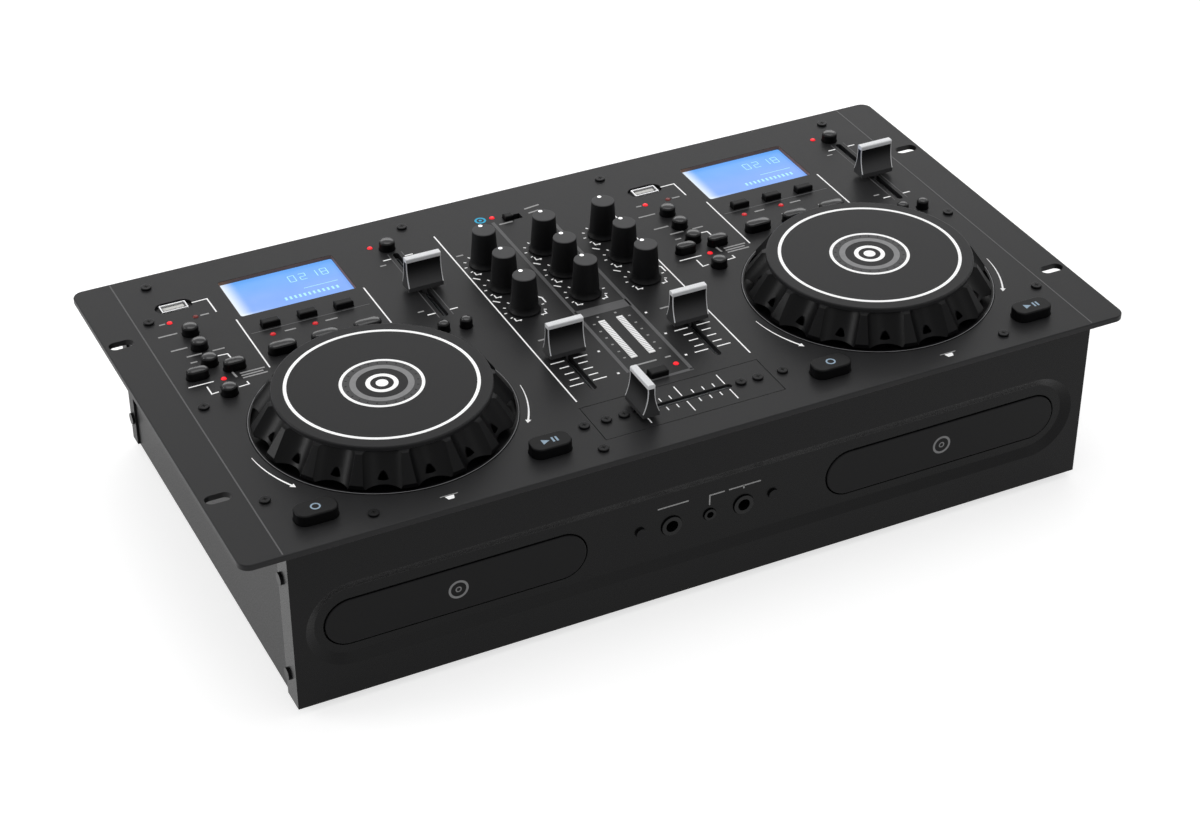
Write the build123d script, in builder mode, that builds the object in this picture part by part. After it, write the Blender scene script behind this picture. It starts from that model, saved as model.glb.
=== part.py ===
import os
from math import atan2, cos, degrees, radians, sin

from build123d import *

os.makedirs("parts", exist_ok=True)

# Twin disc player and mixer console. Millimetres, +Z up, the front faces -Y.
# The origin is on the surface the console stands on, under the middle of the top panel.
# Places on the top panel are (x, y) with y counted back from the panel's front edge. Those behind
# the jogs are given from its rear edge, as panel_depth less their distance to it.
# Places on a deck count x from the middle of that deck.

# ---- overall sizes -------------------------------------------------------------------

panel_width = 482.6           # 19 inch rack panel
panel_depth = 260.0
panel_thickness = 3.0
panel_corner = 6.0
panel_edge_round = 0.6
rack_slot_pitch_x = 465.1
rack_slot_pitch_y = 146.05
rack_slot_middle = panel_depth / 2 - 1.9
rack_slot_length = 13.0
rack_slot_width = 7.0

foot_height = 4.0
foot_radius = 9.0
foot_spread_x = 360.0
foot_spread_y = 190.0
case_height = 92.0            # underside of the case to the top of the panel
case_width = 439.0
front_setback = 0.5
rear_overhang = 9.0
sheet = 1.2                   # steel sheet of the case
front_return = 14.0
rear_return = 8.0
front_flange = 13.5
rear_flange = 11.0

deck_spacing = 274.0
seat_gap = 0.3                # gap between pieces that move past each other
close_gap = 0.1               # gap round fixed pieces in their holes
fit_gap = 0.05                # radial clearance of a shaft in its bore

case_bottom = foot_height
panel_top = foot_height + case_height
panel_under = panel_top - panel_thickness
front_edge = -panel_depth / 2
front_face = front_edge + front_setback
rear_face = panel_depth / 2 - rear_overhang
case_floor = case_bottom + sheet
wall_face = case_width / 2 - sheet
decks = {"left": -deck_spacing / 2, "right": deck_spacing / 2}


def on_panel(spots, across=0.0):
    """Panel places as x and y of the model, with the deck's own offset added."""
    return [(across + x, front_edge + y) for x, y in spots]


def at_height(spots, height):
    return [(x, y, height) for x, y in spots]


# ---- places on each deck -------------------------------------------------------------

jog_spot = (0.0, 84.8)
display_spot = (0.0, panel_depth - 42.0)
data_port_spot = (-60.0, panel_depth - 35.5)
round_source_spots = [(-60.5, panel_depth - 64.0), (-60.8, panel_depth - 79.0),
                      (-61.0, panel_depth - 95.0), (-61.0, panel_depth - 124.5)]
oblong_source_spots = [(-51.0, panel_depth - 104.0), (-70.4, panel_depth - 104.0)]
display_key_spots = [(x, panel_depth - 74.0) for x in (-21.0, -0.9, 19.2)]
track_key_spots = [(x, panel_depth - 100.0) for x in (-24.0, -0.9, 22.2)]
bend_key_spots = [(56.5, panel_depth - 118.4), (68.5, panel_depth - 119.7)]
pitch_key_spot = (61.5, panel_depth - 30.5)
cue_spot = (-59.5, 22.0)
play_spot = (60.0, 22.0)
pitch_fader_x = 63.2
pitch_fader_low = panel_depth - 101.5
pitch_fader_travel = 60.0
pitch_fader_rest = pitch_fader_low + 25.5
deck_lamp_spots = [(-67.0, panel_depth - 50.0), (-53.0, panel_depth - 50.0),
                   (-59.3, panel_depth - 111.0), (-23.0, panel_depth - 83.2),
                   (0.0, panel_depth - 83.2), (53.3, panel_depth - 26.0)]

# ---- places on the mixer -------------------------------------------------------------

knob_columns = {"left": -35.0, "middle": 0.0, "right": 35.0}
knob_rows = {"rear": panel_depth - 68.0, "centre": panel_depth - 93.5, "front": panel_depth - 118.5}
channel_faders = {"left": -35.0, "right": 35.0}
channel_fader_low = 64.0
channel_fader_travel = 30.0
crossfader_y = 32.3
crossfader_travel = 45.0
slide_switch_spot = (-1.5, panel_depth - 30.0)
mixer_button_spot = (-1.2, 57.0)
mixer_lamp_spots = [(-11.7, panel_depth - 25.6), (11.6, 61.9)]
meter_spots = [(-4.6, 94.8), (5.6, 94.8)]

# ---- sizes of the controls -----------------------------------------------------------

key_round_radius = 4.25
small_key_radius = 3.25
oblong_key = (11.5, 6.6)
display_key = (9.6, 4.6)
track_key = (15.0, 7.0)
cue_key = (21.0, 12.0)
cue_key_corner = 5.0
mixer_key = (9.6, 5.6)
key_rise = 4.6
low_key_rise = 3.2
cue_key_rise = 5.6
key_travel = 1.0
cue_key_travel = 1.5
key_lip = 1.1                 # how far the flange under the panel reaches past the cap
key_lip_thickness = 1.2
key_stem_depth = 3.4
key_edge = 0.7

lamp_radius = 1.5
lamp_rise = 0.5
lamp_depth = 7.0
meter_bar = (3.2, 37.5)
meter_bar_depth = 9.0

jog_opening = 66.4
jog_radius = 64.3
jog_float = 1.0
jog_ring_height = 3.2
jog_shoulder_radius = 56.0
jog_shoulder_height = 15.4
jog_plate_radius = 54.0
jog_plate_height = 18.5
jog_deck_thickness = 2.4
jog_plate_gap = 0.05
jog_hub_radius = 10.0
jog_pin_radius = 4.0
jog_pin_height = 11.0
jog_skirt_wall = 5.8
scoop_count = 16
scoop_radius = 12.0
scoop_depth = 3.6
dish_floor = 2.0
dish_flange_radius = 69.0
dish_lip = 1.4
dish_lip_rise = 0.3

knob_base_radius = 8.5
knob_foot_radius = 7.3
knob_top_radius = 6.1
knob_float = 0.8
knob_skirt_height = 4.6
knob_height = 21.0
knob_dot_radius = 1.15
knob_dot_reach = 4.5
shaft_radius = 3.0
bushing_radius = 3.5
bushing_rise = 2.4
knob_socket_top = 15.0

cap_width = 19.5
cap_base = 9.0
cap_blade = 3.8
cap_top = 20.6
cap_float = 2.0
cap_foot = 2.4
cap_waist = 4.6
lever = (6.0, 1.4)            # along the travel, across it
lever_depth = 5.0
lever_grip = 4.0
fader_slot_width = 3.4
fader_slot_spare = 3.6
fader_body_width = 9.4
fader_body_spare = 2.0

crossfader_plate_size = (98.5, 29.5)
crossfader_plate_thickness = 1.5
crossfader_opening = (72.0, 20.0)
crossfader_screws_x = (-42.0, -32.4, 32.4, 42.0)

window_opening = (64.0, 37.0)
window_corner = 1.5
window_drop = 2.0
window_flange = 3.0
window_flange_thickness = 1.5
display_depth = 6.0

port_opening = (20.0, 10.0)
port_shell = (14.2, 6.9)
port_wall = 0.5
port_tongue = (11.6, 1.8)
port_drop = 0.6               # mouth of the port under the panel's surface
port_tongue_drop = 1.4

# ---- sizes of the front --------------------------------------------------------------

dish_height = panel_top - 50.0
dish_mouth = (426.0, 48.0)
dish_bevel = 5.0
dish_depth = 2.5
tray_height = panel_top - 50.7
bezel_size = (135.5, 25.6)
bezel_gap = 0.7
bezel_thickness = 5.0
bezel_proud = 0.5             # in front of the dish floor
bezel_edge = 0.6
front_jack_x = {"left": -20.8, "right": 19.4}
small_jack_x = 0.4
jack_height = panel_top - 51.0
jack_nose_radius = 5.4
jack_bore_radius = 3.3        # takes a 6.35 mm plug
jack_bore_depth = 24.0
small_nose_radius = 3.2
small_bore_radius = 1.85      # takes a 3.5 mm plug
small_bore_depth = 14.0
jack_nose_proud = 0.9
jack_block = 15.0
small_jack_block = 9.0
jack_bracket = (86.0, 21.0, 1.5)
front_screw_x = (-37.7, 36.3)

# ---- sizes of the rear ---------------------------------------------------------------

rear_jack_radius = 4.15       # outside of a phono socket
rear_jack_collar = (5.3, 1.0)   # radius, height above the rear panel
rear_jack_bore = 1.6
rear_jack_proud = 8.0
rear_jack_block = (11.0, 12.0, 12.0)
rear_jack_columns = (-78.0, -60.0, -42.0, -24.0)
rear_jack_rows = (58.0, 74.0)
inlet_place = (152.0, 44.0)
inlet_body = (27.0, 20.0)
inlet_mouth = (24.0, 16.6)
inlet_flange = (31.0, 24.0, 2.0)
inlet_depth = 18.0
inlet_cavity = 15.0
inlet_pin = (2.0, 4.0, 8.0)
inlet_pin_spots = ((-7.0, 2.2), (0.0, -2.2), (7.0, 2.2))
rocker_place = (112.0, 44.0)
rocker_housing = (14.0, 21.5)
rocker_flange = (17.0, 24.5, 1.5)
rocker_housing_depth = 14.0
rocker_cavity = (11.6, 19.6, 9.0)
rocker_size = (11.0, 18.4)
rocker_tilt = 8.0
rocker_pin_radius = 1.0
rocker_pivot_depth = 0.5
vent_middle = 40.0
vent_size = (3.0, 22.0)
vent_pitch = 7.0
vent_count = 9

# ---- sizes of the disc loaders -------------------------------------------------------

tray_spacing = 270.0
tray_width = 129.0
tray_length = 162.0
tray_thickness = 6.0
tray_drop = 4.0               # bottom of the tray under the middle of its bezel
disc_radius = 60.0
disc_play = 0.8
disc_recess = 3.0
small_disc_radius = 40.8
small_disc_recess = 4.0
disc_margin = 5.5
tray_slot_reach = 19.0
loader_start = 1.0
loader_wall = 3.0
loader_length = 168.0
loader_rail = (3.0, 2.0)
loader_cover_rail = (2.4, 2.0)
loader_base_height = 24.0
loader_base_thickness = 2.0
loader_top = 50.0
bridge_width = 34.0
bridge_thickness = 2.0
bridge_hole = 7.2
spindle_hub_radius = 14.0
spindle_hub_thickness = 2.0
hub_cone_radius = 7.3
hub_cone_tip = 5.6
motor_radius = 12.0
motor_height = 9.0
spindle_radius = 1.5
puck_radius = 13.0
puck_neck = 6.5
puck_flange = 10.0
puck_plate = 1.6
pickup_size = (44.0, 22.0, 8.0)
pickup_spot = 34.0            # behind the middle of the disc
pickup_lift = 2.0
pickup_lens_radius = 4.0
pickup_lens_rise = 2.0
rod_radius = 1.5
rod_spread = 18.0
rod_start = 17.0              # behind the middle of the disc
rod_length = 62.0
rod_height = 6.0
rod_post = 5.0

# ---- sizes of the boards -------------------------------------------------------------

board_thickness = 1.6
board_height = 80.0
board_front = 16.0
board_rear = panel_depth - 17.0
deck_board_left = -77.0
deck_board_right = 76.0
mixer_board_half = 59.5
switch_size = 6.0
switch_body = 3.4
plunger_radius = 1.6
stud_radius = 2.5
deck_studs = [(-70.0, panel_depth - 27.0), (44.0, panel_depth - 27.0), (-36.0, 20.0), (36.0, 20.0)]
mixer_studs = [(-54.0, panel_depth - 29.0), (54.0, panel_depth - 29.0)]
spacer_radius = 3.4
pot_body = (11.0, 12.0, 8.4)
slide_opening = (10.5, 5.2)
slide_key = (5.0, 4.4)
slide_rise = 2.6
slide_lip = 0.9
main_board = (108.0, 150.0)
main_board_middle = (0.0, 15.0)
supply_board = (108.0, 50.0)
supply_middle = (145.0, rear_face - 39.0)
post_radius = 3.0
post_height = 6.0
post_inset = 5.0
foot_chamfer = 0.6
panel_screw_length = 8.0
side_screw_length = 6.0
screw_head_round = 0.4

screw_radius = 1.5
screw_hole = 1.7
screw_head_radius = 2.8
screw_head_height = 1.2
side_screw_head = 3.2
side_screw_heights = (panel_top - 20.8, case_bottom + 14.5)

edge_screw_rows = (panel_depth - 45.6, panel_depth / 2 - 1.0, 43.4)
panel_screws_left = [(-67.2, panel_depth - 12.4), (77.0, panel_depth - 13.7), (-35.1, 11.7)]
panel_screws_left += [(-76.6, row) for row in edge_screw_rows]
panel_screws_right = [(-77.0, panel_depth - 13.7), (67.2, panel_depth - 12.4), (36.8, 12.0)]
panel_screws_right += [(78.0, row) for row in edge_screw_rows]
mixer_screw_spots = [(-54.0, 32.2), (56.0, 32.2)]
front_screw_spot = (-54.0, 11.2)
tab_length = 14.0
tab_width = 9.0

board_top = board_height + board_thickness
main_board_posts = [(main_board_middle[0] + x * (main_board[0] / 2 - post_inset),
                     main_board_middle[1] + y * (main_board[1] / 2 - post_inset))
                    for x in (-1, 1) for y in (-1, 1)]
supply_posts = [(supply_middle[0] + x * (supply_board[0] / 2 - post_inset),
                 supply_middle[1] + y * (supply_board[1] / 2 - post_inset))
                for x in (-1, 1) for y in (-1, 1)]
board_posts = main_board_posts + supply_posts
rear_jack_places = [(x, row) for x in rear_jack_columns for row in rear_jack_rows]
jog_places = {side: on_panel([jog_spot], across)[0] for side, across in decks.items()}
crossfader_row = front_edge + crossfader_y
panel_screw_places = (on_panel(panel_screws_left, decks["left"])
                      + on_panel(panel_screws_right, decks["right"])
                      + on_panel(mixer_screw_spots + [front_screw_spot]))
side_screw_rows = (front_face + 10.5, rear_face - rear_return / 2)
spread = 2 * seat_gap


# ---- steel case ----------------------------------------------------------------------

with BuildPart() as top_panel:
    with BuildSketch(Plane.XY.offset(panel_under)):
        RectangleRounded(panel_width, panel_depth, panel_corner)
        with Locations(*on_panel([(0, rack_slot_middle)])):
            with GridLocations(rack_slot_pitch_x, rack_slot_pitch_y, 2, 2):
                SlotOverall(rack_slot_length, rack_slot_width, mode=Mode.SUBTRACT)
        for across in decks.values():
            with Locations(*on_panel([jog_spot], across)):
                Circle(jog_opening, mode=Mode.SUBTRACT)
            with Locations(*on_panel([display_spot], across)):
                RectangleRounded(*window_opening, window_corner, mode=Mode.SUBTRACT)
            with Locations(*on_panel([data_port_spot], across)):
                SlotOverall(*port_opening, mode=Mode.SUBTRACT)
            with Locations(*on_panel(round_source_spots + [pitch_key_spot], across)):
                Circle(key_round_radius + seat_gap, mode=Mode.SUBTRACT)
            with Locations(*on_panel(bend_key_spots, across)):
                Circle(small_key_radius + seat_gap, mode=Mode.SUBTRACT)
            with Locations(*on_panel(oblong_source_spots, across)):
                SlotOverall(oblong_key[0] + spread, oblong_key[1] + spread, mode=Mode.SUBTRACT)
            with Locations(*on_panel(track_key_spots, across)):
                SlotOverall(track_key[0] + spread, track_key[1] + spread, mode=Mode.SUBTRACT)
            with Locations(*on_panel(display_key_spots, across)):
                Rectangle(display_key[0] + spread, display_key[1] + spread, mode=Mode.SUBTRACT)
            with Locations(*on_panel([cue_spot, play_spot], across)):
                RectangleRounded(cue_key[0] + spread, cue_key[1] + spread,
                                 cue_key_corner + seat_gap, mode=Mode.SUBTRACT)
            with Locations(*on_panel(deck_lamp_spots, across)):
                Circle(lamp_radius + close_gap, mode=Mode.SUBTRACT)
            with Locations(*on_panel([(pitch_fader_x, pitch_fader_low + pitch_fader_travel / 2)], across)):
                SlotOverall(pitch_fader_travel + lever[0] + fader_slot_spare, fader_slot_width,
                            rotation=90, mode=Mode.SUBTRACT)
        for across in channel_faders.values():
            with Locations(*on_panel([(across, channel_fader_low + channel_fader_travel / 2)])):
                SlotOverall(channel_fader_travel + lever[0] + fader_slot_spare, fader_slot_width,
                            rotation=90, mode=Mode.SUBTRACT)
        for across in knob_columns.values():
            with Locations(*on_panel([(across, row) for row in knob_rows.values()])):
                Circle(bushing_radius + close_gap, mode=Mode.SUBTRACT)
        with Locations(*on_panel(mixer_lamp_spots)):
            Circle(lamp_radius + close_gap, mode=Mode.SUBTRACT)
        with Locations(*on_panel(meter_spots)):
            Rectangle(meter_bar[0] + 2 * close_gap, meter_bar[1] + 2 * close_gap, mode=Mode.SUBTRACT)
        with Locations(*on_panel([slide_switch_spot])):
            Rectangle(*slide_opening, mode=Mode.SUBTRACT)
        with Locations(*on_panel([mixer_button_spot])):
            Rectangle(mixer_key[0] + spread, mixer_key[1] + spread, mode=Mode.SUBTRACT)
        with Locations((0, crossfader_row)):
            Rectangle(*crossfader_opening, mode=Mode.SUBTRACT)
        with Locations(*panel_screw_places):
            Circle(screw_hole, mode=Mode.SUBTRACT)
        with Locations((crossfader_screws_x[0], crossfader_row), (crossfader_screws_x[3], crossfader_row)):
            Circle(screw_hole, mode=Mode.SUBTRACT)
    extrude(amount=panel_thickness)
    with BuildSketch(Plane.XY.offset(panel_top)):
        with Locations((0, crossfader_row)):
            Rectangle(crossfader_plate_size[0] + spread, crossfader_plate_size[1] + spread)
    extrude(amount=-crossfader_plate_thickness, mode=Mode.SUBTRACT)
    fillet(top_panel.faces().sort_by(Axis.Z)[-1].outer_wire().edges(), panel_edge_round)
    stud_places = on_panel(mixer_studs)
    for across in decks.values():
        stud_places += on_panel(deck_studs, across)
    with Locations(*at_height(stud_places, board_top)):
        Cylinder(stud_radius, panel_under - board_top, align=(Align.CENTER, Align.CENTER, Align.MIN))
top_panel.part.label = "top_panel"
export_step(top_panel.part, "parts/top_panel.step")

with BuildPart() as crossfader_plate:
    with BuildSketch(Plane.XY.offset(panel_top - crossfader_plate_thickness)):
        with Locations((0, crossfader_row)):
            Rectangle(*crossfader_plate_size)
            SlotOverall(crossfader_travel + lever[0] + fader_slot_spare, fader_slot_width,
                        mode=Mode.SUBTRACT)
        with Locations(*[(x, crossfader_row) for x in crossfader_screws_x]):
            Circle(screw_hole, mode=Mode.SUBTRACT)
    extrude(amount=crossfader_plate_thickness)
crossfader_plate.part.label = "crossfader_plate"
export_step(crossfader_plate.part, "parts/crossfader_plate.step")

wall_low = (Align.CENTER, Align.MIN, Align.MIN)
wall_back = (Align.CENTER, Align.MAX, Align.MIN)
on_base = (Align.CENTER, Align.CENTER, Align.MIN)
hung = (Align.CENTER, Align.CENTER, Align.MAX)
flange_width = 2 * (wall_face - sheet) - spread
dish_back = front_face + dish_depth + sheet

with BuildPart() as front_panel:
    with BuildSketch(Plane.XZ.offset(-front_face)):
        with Locations((0, (case_bottom + panel_under) / 2)):
            Rectangle(case_width, panel_under - case_bottom)
    extrude(amount=-sheet)
    for end in (-1, 1):
        with Locations((end * (case_width - sheet) / 2, front_face, case_bottom)):
            Box(sheet, front_return, panel_under - case_bottom, align=wall_low)
    with Locations((0, front_face, panel_under - sheet)):
        Box(flange_width, front_flange, sheet, align=wall_low)
    with BuildSketch(Plane.XZ.offset(-front_face)):
        with Locations((0, dish_height)):
            SlotOverall(dish_mouth[0] + sheet, dish_mouth[1] + sheet)
    with BuildSketch(Plane.XZ.offset(-dish_back)):
        with Locations((0, dish_height)):
            SlotOverall(dish_mouth[0] - 2 * dish_bevel + sheet, dish_mouth[1] - 2 * dish_bevel + sheet)
    loft()
    with BuildSketch(Plane.XZ.offset(-front_face)):
        with Locations((0, dish_height)):
            SlotOverall(*dish_mouth)
    with BuildSketch(Plane.XZ.offset(-front_face - dish_depth)):
        with Locations((0, dish_height)):
            SlotOverall(dish_mouth[0] - 2 * dish_bevel, dish_mouth[1] - 2 * dish_bevel)
    loft(mode=Mode.SUBTRACT)
    with BuildSketch(Plane.XZ.offset(-front_face)):
        with Locations((-tray_spacing / 2, tray_height), (tray_spacing / 2, tray_height)):
            SlotOverall(bezel_size[0] + 2 * bezel_gap, bezel_size[1] + 2 * bezel_gap)
        with Locations(*[(x, jack_height) for x in front_jack_x.values()]):
            Circle(jack_nose_radius + seat_gap)
        with Locations((small_jack_x, jack_height)):
            Circle(small_nose_radius + seat_gap)
        with Locations(*[(x, dish_height) for x in front_screw_x]):
            Circle(screw_hole)
    extrude(amount=front_face - dish_back, mode=Mode.SUBTRACT)
    with Locations(*at_height([place for place in panel_screw_places if place[1] < front_face + front_flange],
                              panel_under)):
        Hole(screw_hole, sheet)
    with BuildSketch(Plane.YZ.offset(-case_width / 2)):
        with Locations(*[(side_screw_rows[0], height) for height in side_screw_heights]):
            Circle(screw_hole)
    extrude(amount=case_width, mode=Mode.SUBTRACT)
front_panel.part.label = "front_panel"
export_step(front_panel.part, "parts/front_panel.step")

with BuildPart() as rear_panel:
    with BuildSketch(Plane.XZ.offset(-rear_face)):
        with Locations((0, (case_bottom + panel_under) / 2)):
            Rectangle(case_width, panel_under - case_bottom)
        with Locations(*rear_jack_places):
            Circle(rear_jack_collar[0] + seat_gap, mode=Mode.SUBTRACT)
        with Locations(inlet_place):
            Rectangle(inlet_body[0] + spread, inlet_body[1] + spread, mode=Mode.SUBTRACT)
        with Locations(rocker_place):
            Rectangle(rocker_housing[0] + spread, rocker_housing[1] + spread, mode=Mode.SUBTRACT)
        with Locations((vent_middle, dish_height)):
            with GridLocations(vent_pitch, 1, vent_count, 1):
                SlotOverall(vent_size[1], vent_size[0], rotation=90, mode=Mode.SUBTRACT)
    extrude(amount=sheet)
    for end in (-1, 1):
        with Locations((end * (case_width - sheet) / 2, rear_face, case_bottom)):
            Box(sheet, rear_return, panel_under - case_bottom, align=wall_back)
    with Locations((0, rear_face, panel_under - sheet)):
        Box(flange_width, rear_flange, sheet, align=wall_back)
    with Locations(*at_height([place for place in panel_screw_places if place[1] > rear_face - rear_flange],
                              panel_under)):
        Hole(screw_hole, sheet)
    with BuildSketch(Plane.YZ.offset(-case_width / 2)):
        with Locations(*[(side_screw_rows[1], height) for height in side_screw_heights]):
            Circle(screw_hole)
    extrude(amount=case_width, mode=Mode.SUBTRACT)
rear_panel.part.label = "rear_panel"
export_step(rear_panel.part, "parts/rear_panel.step")

chassis_front = front_face + sheet
chassis_rear = rear_face - sheet
with BuildPart() as bottom_chassis:
    with Locations((0, chassis_front, case_bottom)):
        Box(2 * wall_face, chassis_rear - chassis_front, sheet, align=wall_low)
    for end in (-1, 1):
        with Locations((end * (wall_face - sheet / 2), chassis_front, case_bottom)):
            Box(sheet, chassis_rear - chassis_front, panel_under - case_bottom, align=wall_low)
        with Locations(*[(end * (wall_face - tab_width / 2), front_edge + row, panel_under)
                         for row in edge_screw_rows]):
            Box(tab_width, tab_length, sheet, align=hung)
    with Locations(*at_height(board_posts, case_floor)):
        Cylinder(post_radius, post_height, align=on_base)
    tab_screws = [place for place in panel_screw_places if abs(place[0]) > wall_face - tab_width]
    with Locations(*at_height(tab_screws, panel_under)):
        Hole(screw_hole, sheet)
    with BuildSketch(Plane.YZ.offset(-case_width / 2)):
        with Locations(*[(row, height) for row in side_screw_rows for height in side_screw_heights]):
            Circle(screw_hole)
    extrude(amount=case_width, mode=Mode.SUBTRACT)
bottom_chassis.part.label = "bottom_chassis"
export_step(bottom_chassis.part, "parts/bottom_chassis.step")

with BuildPart() as rubber_feet:
    with GridLocations(foot_spread_x, foot_spread_y, 2, 2):
        Cylinder(foot_radius, foot_height, align=on_base)
    chamfer(rubber_feet.faces().group_by(Axis.Z)[0].edges(), foot_chamfer)
rubber_feet.part.label = "rubber_feet"
export_step(rubber_feet.part, "parts/rubber_feet.step")

crossfader_screw_places = [(x, crossfader_row) for x in crossfader_screws_x]
with BuildPart() as panel_screws:
    with Locations(*at_height(panel_screw_places + crossfader_screw_places, panel_top)):
        Cylinder(screw_head_radius, screw_head_height, align=on_base)
        Cylinder(screw_radius, panel_screw_length, align=hung)
    fillet(panel_screws.faces().group_by(Axis.Z)[-1].edges(), screw_head_round)
panel_screws.part.label = "panel_screws"
export_step(panel_screws.part, "parts/panel_screws.step")

with BuildPart() as chassis_screws:
    for end in (-1, 1):
        side_plane = Plane(origin=(end * case_width / 2, 0, 0), x_dir=(0, 1, 0), z_dir=(end, 0, 0))
        spots = [(row, end * height) for row in side_screw_rows for height in side_screw_heights]
        with BuildSketch(side_plane):
            with Locations(*spots):
                Circle(side_screw_head)
        extrude(amount=screw_head_height)
        with BuildSketch(side_plane):
            with Locations(*spots):
                Circle(screw_radius)
        extrude(amount=-side_screw_length)
    with BuildSketch(Plane.XZ.offset(-front_face - dish_depth)):
        with Locations(*[(x, dish_height) for x in front_screw_x]):
            Circle(screw_head_radius)
    extrude(amount=screw_head_height)
    with BuildSketch(Plane.XZ.offset(-front_face - dish_depth)):
        with Locations(*[(x, dish_height) for x in front_screw_x]):
            Circle(screw_radius)
    extrude(amount=-side_screw_length)
chassis_screws.part.label = "chassis_screws"
export_step(chassis_screws.part, "parts/chassis_screws.step")


# ---- displays, ports and lamps -------------------------------------------------------

window_top = panel_top - window_drop
with BuildPart() as display_windows:
    for across in decks.values():
        with Locations(*at_height(on_panel([display_spot], across), panel_under)):
            Box(window_opening[0] + 2 * window_flange, window_opening[1] + 2 * window_flange,
                window_flange_thickness, align=hung)
        with BuildSketch(Plane.XY.offset(panel_under)):
            with Locations(*on_panel([display_spot], across)):
                RectangleRounded(window_opening[0] - spread, window_opening[1] - spread,
                                 window_corner - seat_gap)
        extrude(amount=window_top - panel_under)
display_windows.part.label = "display_windows"
export_step(display_windows.part, "parts/display_windows.step")

window_bottom = panel_under - window_flange_thickness
with BuildPart() as display_modules:
    for across in decks.values():
        with Locations(*at_height(on_panel([display_spot], across), window_bottom)):
            Box(window_opening[0] + 2 * window_flange, window_opening[1] + 2 * window_flange,
                display_depth, align=hung)
display_modules.part.label = "display_modules"
export_step(display_modules.part, "parts/display_modules.step")

port_depth = panel_top - port_drop - board_top
with BuildPart() as data_ports:
    for across in decks.values():
        with Locations(*at_height(on_panel([data_port_spot], across), board_top)):
            Box(port_shell[0], port_shell[1], port_depth, align=on_base)
        with Locations(*at_height(on_panel([data_port_spot], across), panel_top - port_drop)):
            Box(port_shell[0] - 2 * port_wall, port_shell[1] - 2 * port_wall, port_depth - port_wall,
                align=hung, mode=Mode.SUBTRACT)
        with Locations(*at_height(on_panel([data_port_spot], across), board_top + port_wall)):
            Box(*port_tongue, port_depth - port_wall - port_tongue_drop, align=on_base)
data_ports.part.label = "data_ports"
export_step(data_ports.part, "parts/data_ports.step")

with BuildPart() as indicator_lamps:
    lamp_places = on_panel(mixer_lamp_spots)
    for across in decks.values():
        lamp_places += on_panel(deck_lamp_spots, across)
    with Locations(*at_height(lamp_places, panel_top + lamp_rise)):
        Cylinder(lamp_radius, lamp_depth, align=hung)
    fillet(indicator_lamps.faces().group_by(Axis.Z)[-1].edges(), lamp_radius / 2)
    with Locations(*at_height(on_panel(meter_spots), panel_top)):
        Box(*meter_bar, meter_bar_depth, align=hung)
indicator_lamps.part.label = "indicator_lamps"
export_step(indicator_lamps.part, "parts/indicator_lamps.step")


# ---- jog wheels ----------------------------------------------------------------------

jog_slope = degrees(atan2(jog_radius - jog_shoulder_radius, jog_shoulder_height - jog_ring_height))
jog_ceiling = jog_plate_height - jog_deck_thickness - jog_plate_gap - jog_deck_thickness
scoop_length = 30.0

with BuildPart() as jog_housings:
    for jog_x, jog_y in jog_places.values():
        with BuildSketch(Plane(origin=(jog_x, jog_y, panel_under), x_dir=(1, 0, 0), z_dir=(0, -1, 0))):
            with BuildLine():
                Polyline(
                    (0, -dish_floor),
                    (dish_flange_radius, -dish_floor),
                    (dish_flange_radius, 0),
                    (jog_opening - seat_gap, 0),
                    (jog_opening - seat_gap, panel_thickness + dish_lip_rise),
                    (jog_opening - seat_gap - dish_lip, panel_thickness + dish_lip_rise),
                    (jog_opening - seat_gap - dish_lip, 0),
                    (jog_hub_radius, 0),
                    (jog_hub_radius, panel_thickness + jog_float),
                    (jog_pin_radius, panel_thickness + jog_float),
                    (jog_pin_radius, panel_thickness + jog_pin_height),
                    (0, panel_thickness + jog_pin_height),
                    close=True,
                )
            make_face()
        revolve(axis=Axis((jog_x, jog_y, 0), (0, 0, 1)))
jog_housings.part.label = "jog_housings"
export_step(jog_housings.part, "parts/jog_housings.step")

for side, (jog_x, jog_y) in jog_places.items():
    with BuildPart() as jog_wheel:
        with BuildSketch(Plane(origin=(jog_x, jog_y, panel_top), x_dir=(1, 0, 0), z_dir=(0, -1, 0))):
            with BuildLine():
                Polyline(
                    (jog_pin_radius + fit_gap, jog_float + seat_gap),
                    (jog_hub_radius, jog_float + seat_gap),
                    (jog_hub_radius, jog_ceiling),
                    (jog_shoulder_radius - jog_skirt_wall, jog_ceiling),
                    (jog_radius - jog_skirt_wall, jog_ring_height),
                    (jog_radius - jog_skirt_wall, jog_float),
                    (jog_radius, jog_float),
                    (jog_radius, jog_ring_height),
                    (jog_shoulder_radius, jog_shoulder_height),
                    (jog_plate_radius, jog_ceiling + jog_deck_thickness),
                    (0, jog_ceiling + jog_deck_thickness),
                    (0, jog_ceiling),
                    (jog_pin_radius + fit_gap, jog_ceiling),
                    close=True,
                )
            make_face()
        revolve(axis=Axis((jog_x, jog_y, 0), (0, 0, 1)))
        with Locations((jog_x, jog_y, panel_top + jog_ring_height)):
            with PolarLocations(jog_radius + scoop_radius - scoop_depth, scoop_count):
                Cylinder(scoop_radius, scoop_length, rotation=(0, -jog_slope, 0),
                         align=on_base, mode=Mode.SUBTRACT)
        with Locations((jog_x, jog_y, panel_top + jog_plate_height)):
            Cylinder(jog_plate_radius, jog_deck_thickness, align=hung)
        fillet(jog_wheel.faces().group_by(Axis.Z)[-1].edges(), key_edge)
    jog_wheel.part.label = f"{side}_jog_wheel"
    export_step(jog_wheel.part, f"parts/{side}_jog_wheel.step")


# ---- keys ----------------------------------------------------------------------------

lip_top = panel_under - seat_gap
stem_bottom = lip_top - key_lip_thickness - key_stem_depth

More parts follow.
